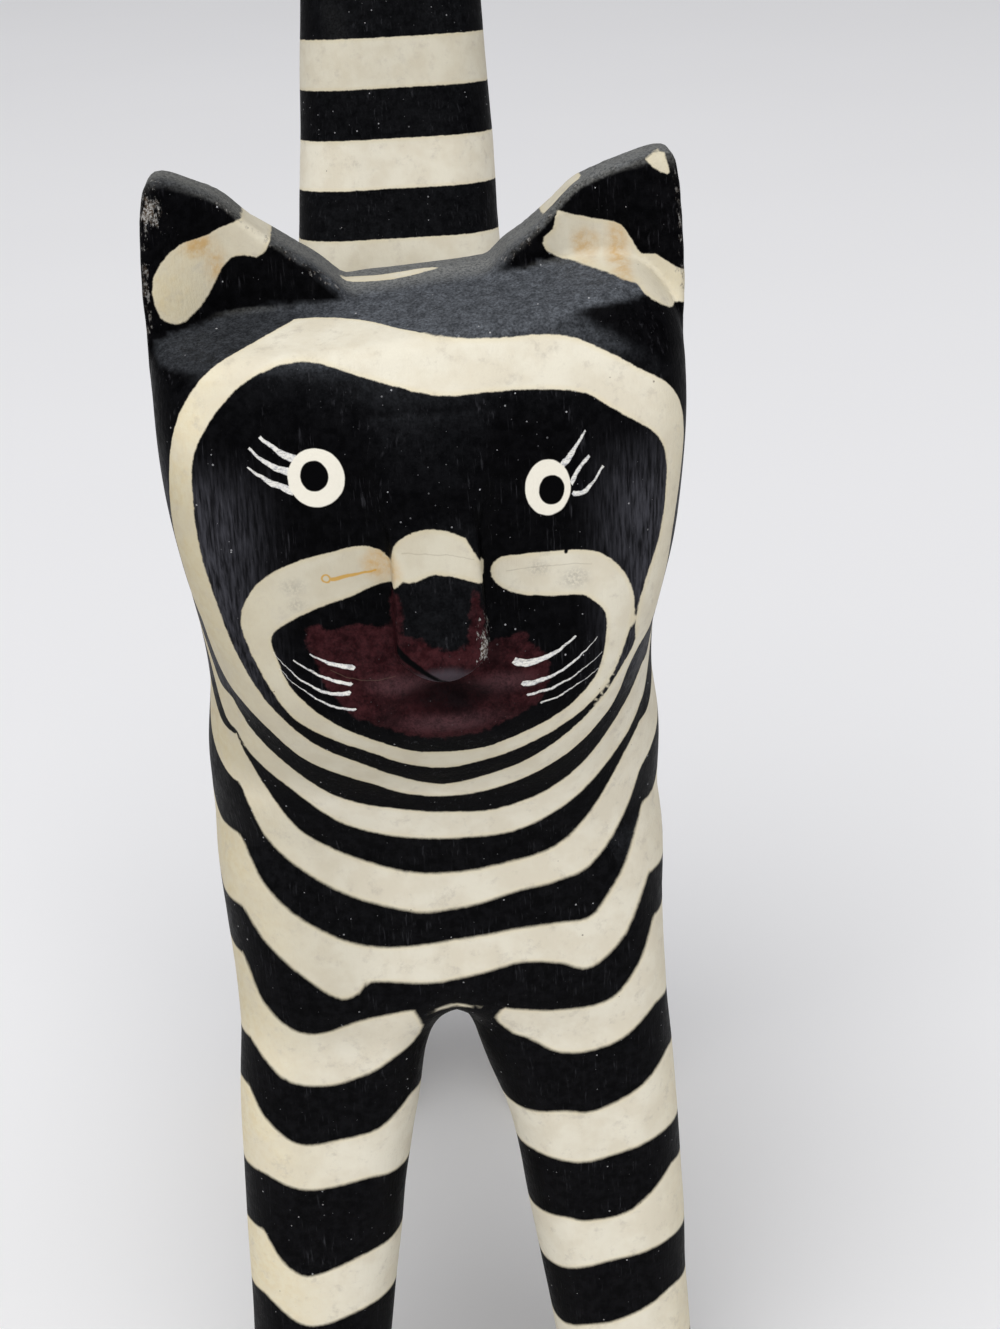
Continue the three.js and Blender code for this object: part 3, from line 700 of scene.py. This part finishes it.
def dust_and_sheen_map(x, y, z, upward):
    """How much dust, and painted highlight of the light from above, lies on each place."""
    dust = smooth(*DUST_AND_SHEEN.lies, upward)
    cleared = np.zeros(x.shape)
    near = (z > HEAD.cheek_z) & (y < FACE_REACH.ear_y)
    for front in EAR_FRONTS:
        inside = smooth(*DUST_AND_SHEEN.wiped_edge, outlined(front, x[near], z[near]))
        cleared[near] = np.maximum(cleared[near], inside)
    return dust * (1 - cleared * (1 - smooth(*DUST_AND_SHEEN.rim, upward)))


def into_box(points):
    """A function that takes places from the carver's frame to the part's own, in metres."""
    low, high = points.min(0), points.max(0)
    box_low, box_high = (np.array(corner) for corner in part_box(NODE))
    box_low = box_low + np.array([CLEARANCE, CLEARANCE, 0])
    scale = (box_high - CLEARANCE - box_low) / (high - low)
    return lambda place: box_low + (np.array(place) - low) * scale


def paint_layers(points, upward):
    """The paint as distances in millimetres, and what the wear goes by, for every vertex."""
    x, y, z = points.T
    face = np.full(len(points), -FAR)
    maroon = np.full(len(points), -FAR)
    near = (z > FACE_REACH.low_z) & (y < FACE_REACH.back_y)
    face[near] = face_paint(x[near], y[near], z[near])
    past = np.maximum(y[near] - MAROON_REACH.fade_y, 0)
    maroon[near] = outlined(MAROON, x[near], z[near]) - MAROON_REACH.fade * past
    return {
        "cream": np.maximum(face, ring_paint(x, y, z)),
        "maroon": maroon,
        "sharpness": sharpness(points),
        "upward": upward,
        "dust": dust_and_sheen_map(x, y, z, upward),
    }


def carved_cat():
    """The cat's piece, and the function that takes places into the part's frame."""
    points, triangles = skin()
    to_frame = into_box(points)
    mesh = bpy.data.meshes.new("carved_cat")
    mesh.from_pydata(to_frame(points).tolist(), [], triangles.tolist())
    normals = gradient(points)
    normals /= np.linalg.norm(normals, axis=1, keepdims=True)
    for name, values in paint_layers(points, normals[:, 2]).items():
        layer = mesh.attributes.new(name, "FLOAT", "POINT")
        layer.data.foreach_set("value", np.asarray(values, np.float32))
    place = mesh.attributes.new("place", "FLOAT_VECTOR", "POINT")
    place.data.foreach_set("vector", points.astype(np.float32).ravel())
    mesh.shade_smooth()
    mesh.normals_split_custom_set_from_vertices(normals.tolist())
    piece = bpy.data.objects.new("carved_cat", mesh)
    bpy.context.scene.collection.objects.link(piece)
    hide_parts(NODE)
    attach(piece, "root")
    return piece, to_frame


class Shader:
    """A material's node tree, built by plain calls; each call returns the socket that it makes."""

    def __init__(self, name):
        self.material = bpy.data.materials.new(name)
        self.material.use_nodes = True
        self.tree = self.material.node_tree
        self.tree.nodes.clear()

    def add(self, kind, inputs=(), output=0, **settings):
        node = self.tree.nodes.new("ShaderNode" + kind)
        for key, value in settings.items():
            setattr(node, key, value)
        for key, value in dict(inputs).items():
            if isinstance(value, bpy.types.NodeSocket):
                self.tree.links.new(value, node.inputs[key])
            else:
                node.inputs[key].default_value = value
        return node.outputs[output] if node.outputs else None

    def attribute(self, name, vector=False):
        return self.add("Attribute", output=1 if vector else 2, attribute_name=name)

    def parts(self, place):
        return [self.add("SeparateXYZ", {"Vector": place}, output=n) for n in range(3)]

    def math(self, operation, *values):
        return self.add("Math", enumerate(values), operation=operation)

    def sum(self, value, times, plus):
        return self.math("MULTIPLY_ADD", value, times, plus)

    def vector(self, operation, *values):
        return self.add("VectorMath", enumerate(values), operation=operation)

    def ramp(self, value, low, high, first=0.0, last=1.0):
        inputs = {"Value": value, "From Min": low, "From Max": high, "To Min": first, "To Max": last}
        return self.add("MapRange", inputs, interpolation_type="SMOOTHSTEP")

    def noise(self, place, scale, detail=2.0, roughness=0.5, stretch=None):
        if stretch:
            place = self.vector("MULTIPLY", place, stretch)
        inputs = {"Vector": place, "Scale": scale, "Detail": detail, "Roughness": roughness}
        return self.add("TexNoise", inputs)

    def mix(self, factor, first, second, blend="MIX"):
        inputs = {0: factor, 6: first, 7: second}
        return self.add("Mix", inputs, output=2, data_type="RGBA", blend_type=blend)

    def chain(self, operation, values):
        found = values[0]
        for value in values[1:]:
            found = self.math(operation, found, value)
        return found

    def greatest(self, values):
        return self.chain("MAXIMUM", values)


def colour(red, green, blue):
    """A colour as a screen shows it, 0 to 255, as the shader takes it."""
    shares = [channel / 255 for channel in (red, green, blue)]
    linear = [s / 12.92 if s <= 0.04045 else ((s + 0.055) / 1.055) ** 2.4 for s in shares]
    return (*linear, 1.0)


# Fine paint, laid by the material on the front of the head, in the carver's millimetres.
# An oval is (x, z, half across, half up). A stroke runs between two (x, z, half width) ends, and
# bows up by the last number in its middle.
FRONT_Y = 12
NOSE_Y = -2.5
EYE_WHITES = [(-12.1, 153.5, 3.09, 3.3), (13, 150.7, 2.51, 3.2)]
PUPILS = [(-12.3, 153.7, 1.52, 1.75), (13.4, 150.4, 1.42, 1.7)]
LASHES = [
    ((-14.1, 155.6, 0.4), (-17.7, 158.1, 0.19), -0.3),
    ((-15, 154.4, 0.38), (-19, 156.9, 0.16), -0.55),
    ((-14.8, 152.2, 0.43), (-19.4, 154.9, 0.11), -0.4),
    ((14.7, 153.2, 0.34), (17.3, 156.6, 0.12), -0.3),
    ((15.7, 151.2, 0.29), (17.6, 153.7, 0.14), 0.2),
    ((15.8, 149.7, 0.22), (19.1, 152.4, 0.16), -0.85),
]
WHISKERS = [
    ((-9.6, 131.4, 0.32), (-14.3, 133, 0.08), -0.35),
    ((-9.9, 129.4, 0.22), (-16.2, 132.4, 0.06), -0.57),
    ((-10.2, 128.4, 0.21), (-18.4, 133.3, 0.03), -1.8),
    ((-9.7, 126.3, 0.13), (-17.8, 131.2, 0.03), -1.3),
    ((8.5, 130.8, 0.45), (15.5, 132.9, 0.11), -1),
    ((9.3, 128.1, 0.26), (18, 132.4, 0.05), -1.3),
    ((9.8, 126.7, 0.16), (18.5, 130.5, 0.03), -1.05),
    ((11.3, 125.3, 0.11), (18.1, 128.5, 0.03), -0.46),
]
RESIN_STREAK = ((-11.2, 141.8, 0.24), (-6.3, 142.7, 0.12), 0)
RESIN_RING = Form(oval=(-11.8, 141.9, 0.55, 0.55), inset=0.1, half_width=0.12)
SPOTS = [(6.6, 123.6, 0.34, 0.34), (14.8, 143.2, 0.22, 0.34)]

# Each noise, as (scale, detail, roughness) and how it is stretched
NOISES = dict(
    fine=(3.2, 3, 0.7), patchy=(0.22, 3, 0.6), cloudy=(0.9, 4, 0.65), grimy=(0.5, 5, 0.7),
    grain=(3, 3, 0.6, (1, 1, 0.1)), dry=(2.2, 2, 0.6, (0.5, 0.5, 2.4)),
    chips=(1.6, 3, 0.7, (1.2, 1.2, 0.5)), sawn_grain=(1.2, 3, 0.6, (1, 0.15, 1)),
)
TREMBLE = dict(Scale=0.7, Detail=2)
STROKE_TREMBLE = 0.5
EYE_TREMBLE = 0.2
# How far the edge of a paint strays, in millimetres, as (times the noise, plus)
BRISTLES = (0.08, -0.04)
CREAM_WOBBLE = (0.36, -0.18)
MAROON_WOBBLE = (1.6, -0.8)
THIN_SHARES = (0.5, 0.5)

# The paints and the wear, and the painted shade, sheen and highlights, which are laid like paints.
# A paint has one tone, as a screen shows it, or two that a noise blends between. It lies where all
# of its fades let it. Each fade goes by the noise or the place that it is named for, or by the depth
# inside the paint's shapes, and runs from its first number to its second. Its last two are the
# shares at those ends, or else 0 and 1. Dots are (pitch, radius, share). `above` and `below` are
# heights, like z.
FACE_BLACK = dict(tones=((1, 1, 2), (8, 8, 10)), blend=("cloudy", 0.35, 0.7))
BODY_BLACK = dict(tones=((4, 4, 5), (16, 16, 18)), blend=("cloudy", 0.35, 0.7), z=(118, 104))
RUBBED = dict(tone=(66, 66, 70), grain=(0.56, 0.78, 0, 0.5), patchy=(0.4, 0.65))
# Painted sheen: grey along the grain on the cheeks, where the face turns aside.
CHEEK_SHEEN = dict(
    tone=(68, 68, 74), aside=(15, 25), below=(158, 148), above=(122, 128), grain=(0.3, 0.7, 0.1, 0.9),
)
# Dust and a painted highlight: grey on the black where it looks up, kept off the front below the ears.
DUST_AND_SHEEN_SPREAD = dict(cloudy=(0.25, 0.75, 0.45, 1), fine=(0.3, 0.7, 0.35, 1))
CLEAR_FRONT = dict(z=(166.5, 163, 0, 0.8))
DUST_AND_SHEEN_GREY = dict(tone=(106, 110, 116), x=(-18, -3, 0.4, 1), y=(75, 95, 1, 0.3))
# Worn grey along the shelf's back rim, and a painted highlight where that rim looks up.
RIM_WEAR_AND_HIGHLIGHT = dict(
    tone=(132, 132, 128), y=(14, 18), z=(167, 169), upward=(0.2, 0.5), fine=(0.3, 0.65, 0.2, 0.75),
)
SPECKS = dict(tone=(170, 170, 172), dots=(1.1, 0.12, 0.4), patchy=(0.35, 0.6, 0.2, 0.85))
GRIT = dict(tone=(112, 112, 114), dots=(0.55, 0.07, 0.25), patchy=(0.6, 0.35, 0.15, 0.7))

WINE = dict(tones=((38, 12, 15), (62, 30, 33)), blend=("cloudy", 0.3, 0.7), depth=(-0.25, 0.25))
THIN_WINE = dict(depth=(0.38, 0.58, 0.45, 1))
# Painted light on the mouth and nose: a highlight on the lips, shade in the mouth's hollow and under the
# nose's tip, and a shadow line in the crease beside the nose.
LIP_HIGHLIGHT = dict(
    tone=(96, 68, 72), depth=(-0.8, 0.9, 0, 0.45),
    ovals=[(-4.2, 129.2, 3.4, 1.2), (6.8, 128.6, 3.2, 1.1), (0.8, 124.2, 5, 1.1)],
)
MOUTH_SHADE = dict(tone=(18, 6, 8), depth=(-0.8, 0.8, 0, 0.7), ovals=[(1.2, 127.4, 5.5, 1.9)])
NOSE_TIP_SHADE = dict(tone=(72, 66, 72), depth=(-0.4, 0.7, 0, 0.7), ovals=[(0.4, 131, 3.8, 1.9)])
NOSE_CREASE_SHADOW = dict(
    tone=(3, 3, 4), depth=(-0.15, 0.15), strokes=[((-4.6, 134.9, 0.45), (1.8, 130.7, 0.1), -0.6)],
)

CREAM_SOFTNESS = (122, 92, 0.1, 0.32)
CLEAN_CREAM = dict(tones=((222, 214, 194), (230, 224, 206)), blend=("patchy", 0.35, 0.65))
AGED_CREAM = dict(tones=((228, 218, 188), (222, 206, 168)), blend=("cloudy", 0.3, 0.8))
YELLOWED = [
    dict(x=(-14, -30), patchy=(0.3, 0.6, 0.5, 1)),
    dict(x=(23, 31, 0, 0.6), patchy=(0.3, 0.6, 0.5, 1)),
    dict(depth=(0.7, 0.05, 0, 0.5)),
]
# Painted shade: the cream is darkened on the lower face, more to the left, on the ears, and on the left of
# the chest.
CREAM_SHADE_TONE = (226, 225, 221)
CREAM_SHADE = [
    dict(below=(160, 148), above=(109, 116), x=(18, -4, 0.3, 1)),
    dict(above=(167, 170, 0, 0.6)),
    dict(below=(112, 106), above=(72, 80), x=(-5, -16, 0, 0.6)),
]
GREYED = dict(tone=(186, 178, 164), grimy=(0.52, 0.75, 0, 0.5))
SMUDGED = dict(
    tone=(160, 154, 142), depth=(-0.6, 0.8), fine=(0.35, 0.6, 0.05, 0.5),
    ovals=[(-15.6, 141, 1.3, 0.9), (-15.3, 138.8, 1, 0.8), (15.7, 139.8, 1.6, 1.2), (11.6, 141.5, 1.2, 0.8)],
)
STAINED = dict(
    tone=(196, 160, 104), depth=(-0.9, 1, 0, 0.9), cloudy=(0.3, 0.7, 0.3, 1),
    ovals=[(-23.3, 176.2, 1.7, 1.3), (-21.7, 174, 0.9, 1.7), (19.4, 173.8, 1.4, 1.4),
           (22.9, 173.3, 1.1, 2.9), (-5.8, 143.4, 1.9, 1.7)],
)
RESIN = dict(tone=(196, 150, 60), depth=(-0.05, 0.08, 0, 0.85))
PIT_DOTS = (2.3, 0.12, 0.4)
PITTED = dict(tone=(80, 70, 60), share=0.6)
SPOT = dict(depth=(-0.08, 0.08))

FINE_LINE = dict(
    tones=((196, 196, 200), (236, 234, 226)), blend=("fine", 0.3, 0.6), depth=(-0.06, 0.06),
    dry=(0.3, 0.5, 0.55, 1),
)
EYE_WHITE = dict(tone=(240, 235, 220), depth=(-0.07, 0.07))
PUPIL = dict(tone=(3, 3, 4), depth=(-0.07, 0.07))

CRACKED = dict(tone=(120, 106, 88), depth=(-0.05, 0.03, 0, 0.25), strokes=[
    ((-12.1, 131.1, 0.04), (-5, 130.4, 0.02), -0.9), ((-3.4, 145.4, 0.05), (4.4, 144.3, 0.04), 0.2),
    ((8, 141.5, 0.05), (17.5, 141.3, 0.04), 0.3),
])
# Bare wood: how far inside an oval, or how sharp an edge, and how much the chips change that
TIP_WEAR = dict(oval=(-28.2, 180.4, 2.6, 3.2), inset=3, chipping=5, depth=(0.7, 1.7))
NOSE_WEAR = dict(oval=(5, 134.5, 1.3, 5), inset=1.8, chipping=3.4, depth=(0.5, 0.9, 0, 0.8))
EDGE_WEAR = dict(sharpness=0.6, chipping=1.6, depth=(1.42, 1.6, 0, 0.5), y=(4, 9))
BARE_WOOD = dict(tones=((74, 64, 54), (164, 162, 158)), blend=("fine", 0.42, 0.58))
SAWN = dict(upward=(-0.85, -0.97), z=(0.7, 0.2))
SAWN_TONES = ((150, 116, 76), (196, 164, 118))

# How rough each surface is, how much each layer stands out, in millimetres, and how little shines.
ROUGHNESS = Form(cloudy=(0.3, 0.7, 0.42, 0.6), dust=0.2, bare=0.8)
RELIEF = dict(paint=0.05, grain=0.05, cloudy=0.07, fine=0.02, wear=-0.08, pits=-0.03)
SPECULAR = 0.03


class CatPaint(Shader):
    """What the cat's paints, its wear and its painted light are laid with."""

    def __init__(self):
        super().__init__("painted_wood")
        self.place = self.attribute("place", vector=True)
        x, y, z = self.parts(self.place)
        self.over = {name: self.noise(self.place, *values) for name, values in NOISES.items()}
        self.over |= dict(x=x, y=y, z=z, above=z, below=z, upward=self.attribute("upward"))
        self.over["aside"] = self.math("ABSOLUTE", x)
        self.on_front = self.math("LESS_THAN", y, FRONT_Y)
        self.on_nose = self.math("LESS_THAN", y, NOSE_Y)
        # The hand's tremble moves the fine strokes, and ragged bristles break them.
        tremble = self.add("TexNoise", {"Vector": self.place, **TREMBLE}, output=1)
        self.tremble = self.vector("SUBTRACT", tremble, (0.5, 0.5, 0.5))
        self.moved = self.shaken(STROKE_TREMBLE)
        self.moved_x, _, self.moved_z = self.parts(self.moved)
        self.bristles = self.sum(self.over["fine"], *BRISTLES)

    def shaken(self, reach):
        return self.vector("MULTIPLY_ADD", self.tremble, (reach, reach, reach), self.place)

    def lies(self, paint, *shares, depth=None):
        """How much of each place a paint covers: all of its fades, times the shares given."""
        if "ovals" in paint:
            depth = self.ovals(paint["ovals"])
        if "strokes" in paint:
            depth = self.strokes(paint["strokes"])
        if "dots" in paint:
            shares = [*shares, self.dots(*paint["dots"])]
        fades = [(name, fade) for name, fade in paint.items() if name in self.over or name == "depth"]
        ramps = [self.ramp(self.over.get(name, depth), *fade) for name, fade in fades]
        return self.chain("MULTIPLY", [*shares, *ramps])

    def tone(self, paint):
        if "tone" in paint:
            return colour(*paint["tone"])
        noise, low, high = paint["blend"]
        return self.mix(self.ramp(self.over[noise], low, high), *(colour(*tone) for tone in paint["tones"]))

    def lay(self, paint, base, *shares, depth=None):
        return self.mix(self.lies(paint, *shares, depth=depth), base, self.tone(paint))

    def oval(self, shape, place=None):
        """Depth inside an oval on the front, negative outside."""
        x, z, across, up = shape
        offset = self.vector("SUBTRACT", self.moved if place is None else place, (x, 0, z))
        offset = self.vector("MULTIPLY", offset, (1 / across, 0, 1 / up))
        away = self.add("VectorMath", {0: offset}, output=1, operation="LENGTH")
        return self.sum(away, -min(across, up), min(across, up))

    def ovals(self, shapes, place=None):
        return self.greatest([self.oval(shape, place) for shape in shapes])

    def stroke(self, path):
        """Depth inside a brush stroke that bows between its two ends and tapers along its length."""
        (x0, z0, half0), (x1, z1, half1), bow = path
        flatness = math.cos(math.atan2(z1 - z0, abs(x1 - x0)))
        along = self.add("MapRange", {"Value": self.moved_x, "From Min": x0, "From Max": x1})
        rise = self.sum(along, -4.0 * bow, z1 - z0 + 4.0 * bow)
        middle = self.sum(along, rise, z0)
        half = self.sum(along, half1 - half0, half0)
        aside = self.math("ABSOLUTE", self.math("SUBTRACT", self.moved_z, middle))
        nearest = self.sum(along, x1 - x0, x0)
        past = self.math("ABSOLUTE", self.math("SUBTRACT", self.moved_x, nearest))
        return self.math("SUBTRACT", self.sum(aside, -flatness, half), past)

    def strokes(self, paths):
        return self.greatest([self.stroke(path) for path in paths])

    def dots(self, pitch, radius, share):
        """Small round dots, one in some of the cells of a scattered grid."""
        cells = self.tree.nodes.new("ShaderNodeTexVoronoi")
        self.tree.links.new(self.place, cells.inputs["Vector"])
        cells.inputs["Scale"].default_value = 1 / pitch
        draw = self.add("SeparateColor", {"Color": cells.outputs["Color"]})
        size = self.ramp(draw, 1 - share, 1.0, 0.0, radius / pitch)
        return self.math("LESS_THAN", cells.outputs["Distance"], size)


# Dust with a painted highlight on what looks up, kept off the front below the ears.
def lying_dust_and_sheen(s):
    dust = s.lies(DUST_AND_SHEEN_SPREAD, s.attribute("dust"))
    return s.math("SUBTRACT", dust, s.math("MULTIPLY", dust, s.lies(CLEAR_FRONT, s.on_front)))


def black_paint(s, dust):
    black = s.tone(FACE_BLACK)
    # Black, rubbed grey along the grain, with a painted sheen on the cheeks.
    for paint in (BODY_BLACK, RUBBED, CHEEK_SHEEN):
        black = s.lay(paint, black)
    # Dust and a painted highlight grey the black where it looks up.
    black = s.lay(DUST_AND_SHEEN_GREY, black, dust)
    # The worn rim with its painted highlight, then specks and grit.
    for paint in (RIM_WEAR_AND_HIGHLIGHT, SPECKS, GRIT):
        black = s.lay(paint, black)
    return black


def maroon_paint(s, base):
    """Maroon, brushed thinly over the black of the mouth, with a painted highlight on the lips and painted
    shade in the mouth's hollow, the shade under the nose's tip, and a painted shadow in the crease beside the
    nose.
    """
    wine = s.lay(MOUTH_SHADE, s.lay(LIP_HIGHLIGHT, s.tone(WINE)))
    wobble = s.sum(s.over["cloudy"], *MAROON_WOBBLE)
    covers = s.lies(WINE, depth=s.math("ADD", s.attribute("maroon"), wobble))
    fine_share, patchy_share = THIN_SHARES
    patchy = s.math("MULTIPLY", s.over["patchy"], patchy_share)
    thin = s.lies(THIN_WINE, depth=s.sum(s.over["fine"], fine_share, patchy))
    base = s.mix(s.math("MULTIPLY", covers, thin), base, wine)
    return s.lay(NOSE_CREASE_SHADOW, s.lay(NOSE_TIP_SHADE, base, s.on_nose), s.on_nose)


def cream_paint(s, base, pits):
    """Cream that is yellowed, darkened by painted shade, stained and pitted; returns how much of it lies too.
    """
    wobble = s.sum(s.over["cloudy"], *CREAM_WOBBLE)
    edge = s.math("ADD", s.attribute("cream"), s.math("ADD", wobble, s.bristles))
    softness = s.ramp(s.over["z"], *CREAM_SOFTNESS)
    cream = s.ramp(edge, s.math("MULTIPLY", softness, -1.0), softness)
    yellowed = s.greatest([s.lies(part, depth=edge) for part in YELLOWED])
    paint = s.mix(yellowed, s.tone(CLEAN_CREAM), s.tone(AGED_CREAM))
    # Painted shade darkens the cream.
    shaded = s.greatest([s.lies(part) for part in CREAM_SHADE])
    paint = s.mix(shaded, paint, colour(*CREAM_SHADE_TONE), blend="MULTIPLY")
    for dirt in (GREYED, SMUDGED, STAINED):
        paint = s.lay(dirt, paint)
    ring = s.math("SUBTRACT", s.oval(RESIN_RING.oval), RESIN_RING.inset)
    ring = s.math("SUBTRACT", RESIN_RING.half_width, s.math("ABSOLUTE", ring))
    paint = s.lay(RESIN, paint, depth=s.greatest([ring, s.stroke(RESIN_STREAK)]))
    paint = s.lay(PITTED, paint, pits, PITTED["share"])
    spots = s.math("ADD", s.ovals(SPOTS), s.bristles)
    clear = s.math("SUBTRACT", 1.0, s.lies(SPOT, s.on_front, depth=spots))
    return s.mix(s.math("MULTIPLY", cream, clear), base, paint), cream


def fine_paint(s, base):
    """Lashes, whiskers and eyes; returns how much of the lines and the eyes' whites lies too."""
    steady = s.shaken(EYE_TREMBLE)
    depth = s.math("ADD", s.strokes(LASHES + WHISKERS), s.bristles)
    lines = s.lies(FINE_LINE, s.on_front, depth=depth)
    whites = s.lies(EYE_WHITE, s.on_front, depth=s.ovals(EYE_WHITES, steady))
    base = s.mix(lines, base, s.tone(FINE_LINE))
    base = s.mix(whites, base, s.tone(EYE_WHITE))
    return s.lay(PUPIL, base, s.on_front, depth=s.ovals(PUPILS, steady)), lines, whites


def worn_oval(s, wear, *shares):
    inset = s.math("SUBTRACT", s.oval(wear["oval"], s.place), wear["inset"])
    return s.lies(wear, *shares, depth=s.sum(s.over["chips"], wear["chipping"], inset))


def worn(s, base):
    """Cracks, and bare wood on an ear, the nose and the edges; returns how much is bare too."""
    base = s.lay(CRACKED, base, s.on_front)
    sharp = s.math("MULTIPLY", s.attribute("sharpness"), EDGE_WEAR["sharpness"])
    edges = s.lies(EDGE_WEAR, depth=s.sum(s.over["chips"], EDGE_WEAR["chipping"], sharp))
    wear = s.greatest([worn_oval(s, TIP_WEAR), worn_oval(s, NOSE_WEAR, s.on_front), edges])
    return s.mix(wear, base, s.tone(BARE_WOOD)), wear


def sawn_feet(s, base):
    """The feet are bare where they were sawn; returns the sawn share too."""
    sawn = s.lies(SAWN)
    wood = s.mix(s.over["sawn_grain"], *(colour(*tone) for tone in SAWN_TONES))
    return s.mix(sawn, base, wood), sawn


def roughness(s, dust, bare):
    rough = s.ramp(s.over["cloudy"], *ROUGHNESS.cloudy)
    rough = s.sum(dust, ROUGHNESS.dust, rough)
    return s.greatest([rough, s.math("MULTIPLY", bare, ROUGHNESS.bare)])


def relief(s, layers):
    height = 0.0
    for name, layer in layers.items():
        height = s.sum(layer, RELIEF[name], height)
    return s.add("Bump", {"Height": height, "Distance": MM, "Strength": 1.0})


def painted_wood():
    s = CatPaint()
    dust = lying_dust_and_sheen(s)
    pits = s.dots(*PIT_DOTS)
    base = maroon_paint(s, black_paint(s, dust))
    base, cream = cream_paint(s, base, pits)
    base, lines, whites = fine_paint(s, base)
    base, wear = worn(s, base)
    base, sawn = sawn_feet(s, base)
    layers = {name: s.over[name] for name in ("grain", "cloudy", "fine")}
    layers |= dict(paint=s.greatest([cream, lines, whites]), wear=wear, pits=pits)
    wood = s.add("BsdfPrincipled", {
        "Base Color": base,
        "Roughness": roughness(s, dust, s.greatest([wear, sawn])),
        "Normal": relief(s, layers),
        "Specular IOR Level": SPECULAR,
    })
    s.add("OutputMaterial", {"Surface": wood})
    return s.material


# The camera in the carver's frame, turned in degrees to the right, down and clockwise
CAMERA = dict(
    place=(-6.9176, -247.6532, 235.6299), yaw=3.1784, pitch=23.0727, roll=2.7,
    lens=65.01, sensor=36.0, clip_start=0.01,
)


def camera(to_frame):
    yaw, pitch, roll = (math.radians(CAMERA[name]) for name in ("yaw", "pitch", "roll"))
    ahead = Vector((math.sin(yaw) * math.cos(pitch), math.cos(yaw) * math.cos(pitch), -math.sin(pitch)))
    level = Vector((math.cos(yaw), -math.sin(yaw), 0))
    down = ahead.cross(level)
    right = level * math.cos(roll) + down * math.sin(roll)
    up = -ahead.cross(right)
    lens = bpy.data.cameras.new("camera")
    lens.sensor_width = CAMERA["sensor"]
    lens.lens = CAMERA["lens"]
    lens.clip_start = CAMERA["clip_start"]
    view = bpy.data.objects.new("camera", lens)
    place = Matrix.Translation(Vector(to_frame(CAMERA["place"])))
    view.matrix_world = place @ Matrix((right, up, -ahead)).transposed().to_4x4()
    bpy.context.scene.collection.objects.link(view)
    bpy.context.scene.camera = view


# The studio, in metres: a white table that runs out of sight, and a broad soft light overhead.
FLOOR = Form(half=8.0, tones=((246, 246, 247), (249, 249, 250)), noise=6.0, roughness=0.8)
SOFTBOX = Form(place=(-0.5, -2.0, 3.5), aim=(0, 0, 0), width=5.0, watts=172.0)
ROOM = Form(tone=(250, 250, 255), strength=0.3)


def floor():
    h = FLOOR.half
    mesh = bpy.data.meshes.new("floor")
    mesh.from_pydata([(-h, -h, 0), (h, -h, 0), (h, h, 0), (-h, h, 0)], [], [(0, 1, 2, 3)])
    floor = bpy.data.objects.new("floor", mesh)
    bpy.context.scene.collection.objects.link(floor)
    s = Shader("floor")
    place = s.add("TexCoord", output=3)
    tone = s.mix(s.noise(place, FLOOR.noise), *(colour(*tone) for tone in FLOOR.tones))
    paper = s.add("BsdfPrincipled", {"Base Color": tone, "Roughness": FLOOR.roughness})
    s.add("OutputMaterial", {"Surface": paper})
    mesh.materials.append(s.material)


def lights():
    world = bpy.data.worlds.new("studio")
    world.use_nodes = True
    room = world.node_tree.nodes["Background"]
    room.inputs["Color"].default_value = colour(*ROOM.tone)
    room.inputs["Strength"].default_value = ROOM.strength
    bpy.context.scene.world = world
    lamp = bpy.data.lights.new("softbox", "AREA")
    lamp.shape = "DISK"
    lamp.size = SOFTBOX.width
    lamp.energy = SOFTBOX.watts
    light = bpy.data.objects.new("softbox", lamp)
    light.location = SOFTBOX.place
    light.rotation_euler = (Vector(SOFTBOX.aim) - light.location).to_track_quat("-Z", "Y").to_euler()
    bpy.context.scene.collection.objects.link(light)
    bpy.context.scene.view_settings.view_transform = "Standard"


def main():
    piece, to_frame = carved_cat()
    piece.data.materials.append(painted_wood())
    camera(to_frame)
    floor()
    lights()


main()
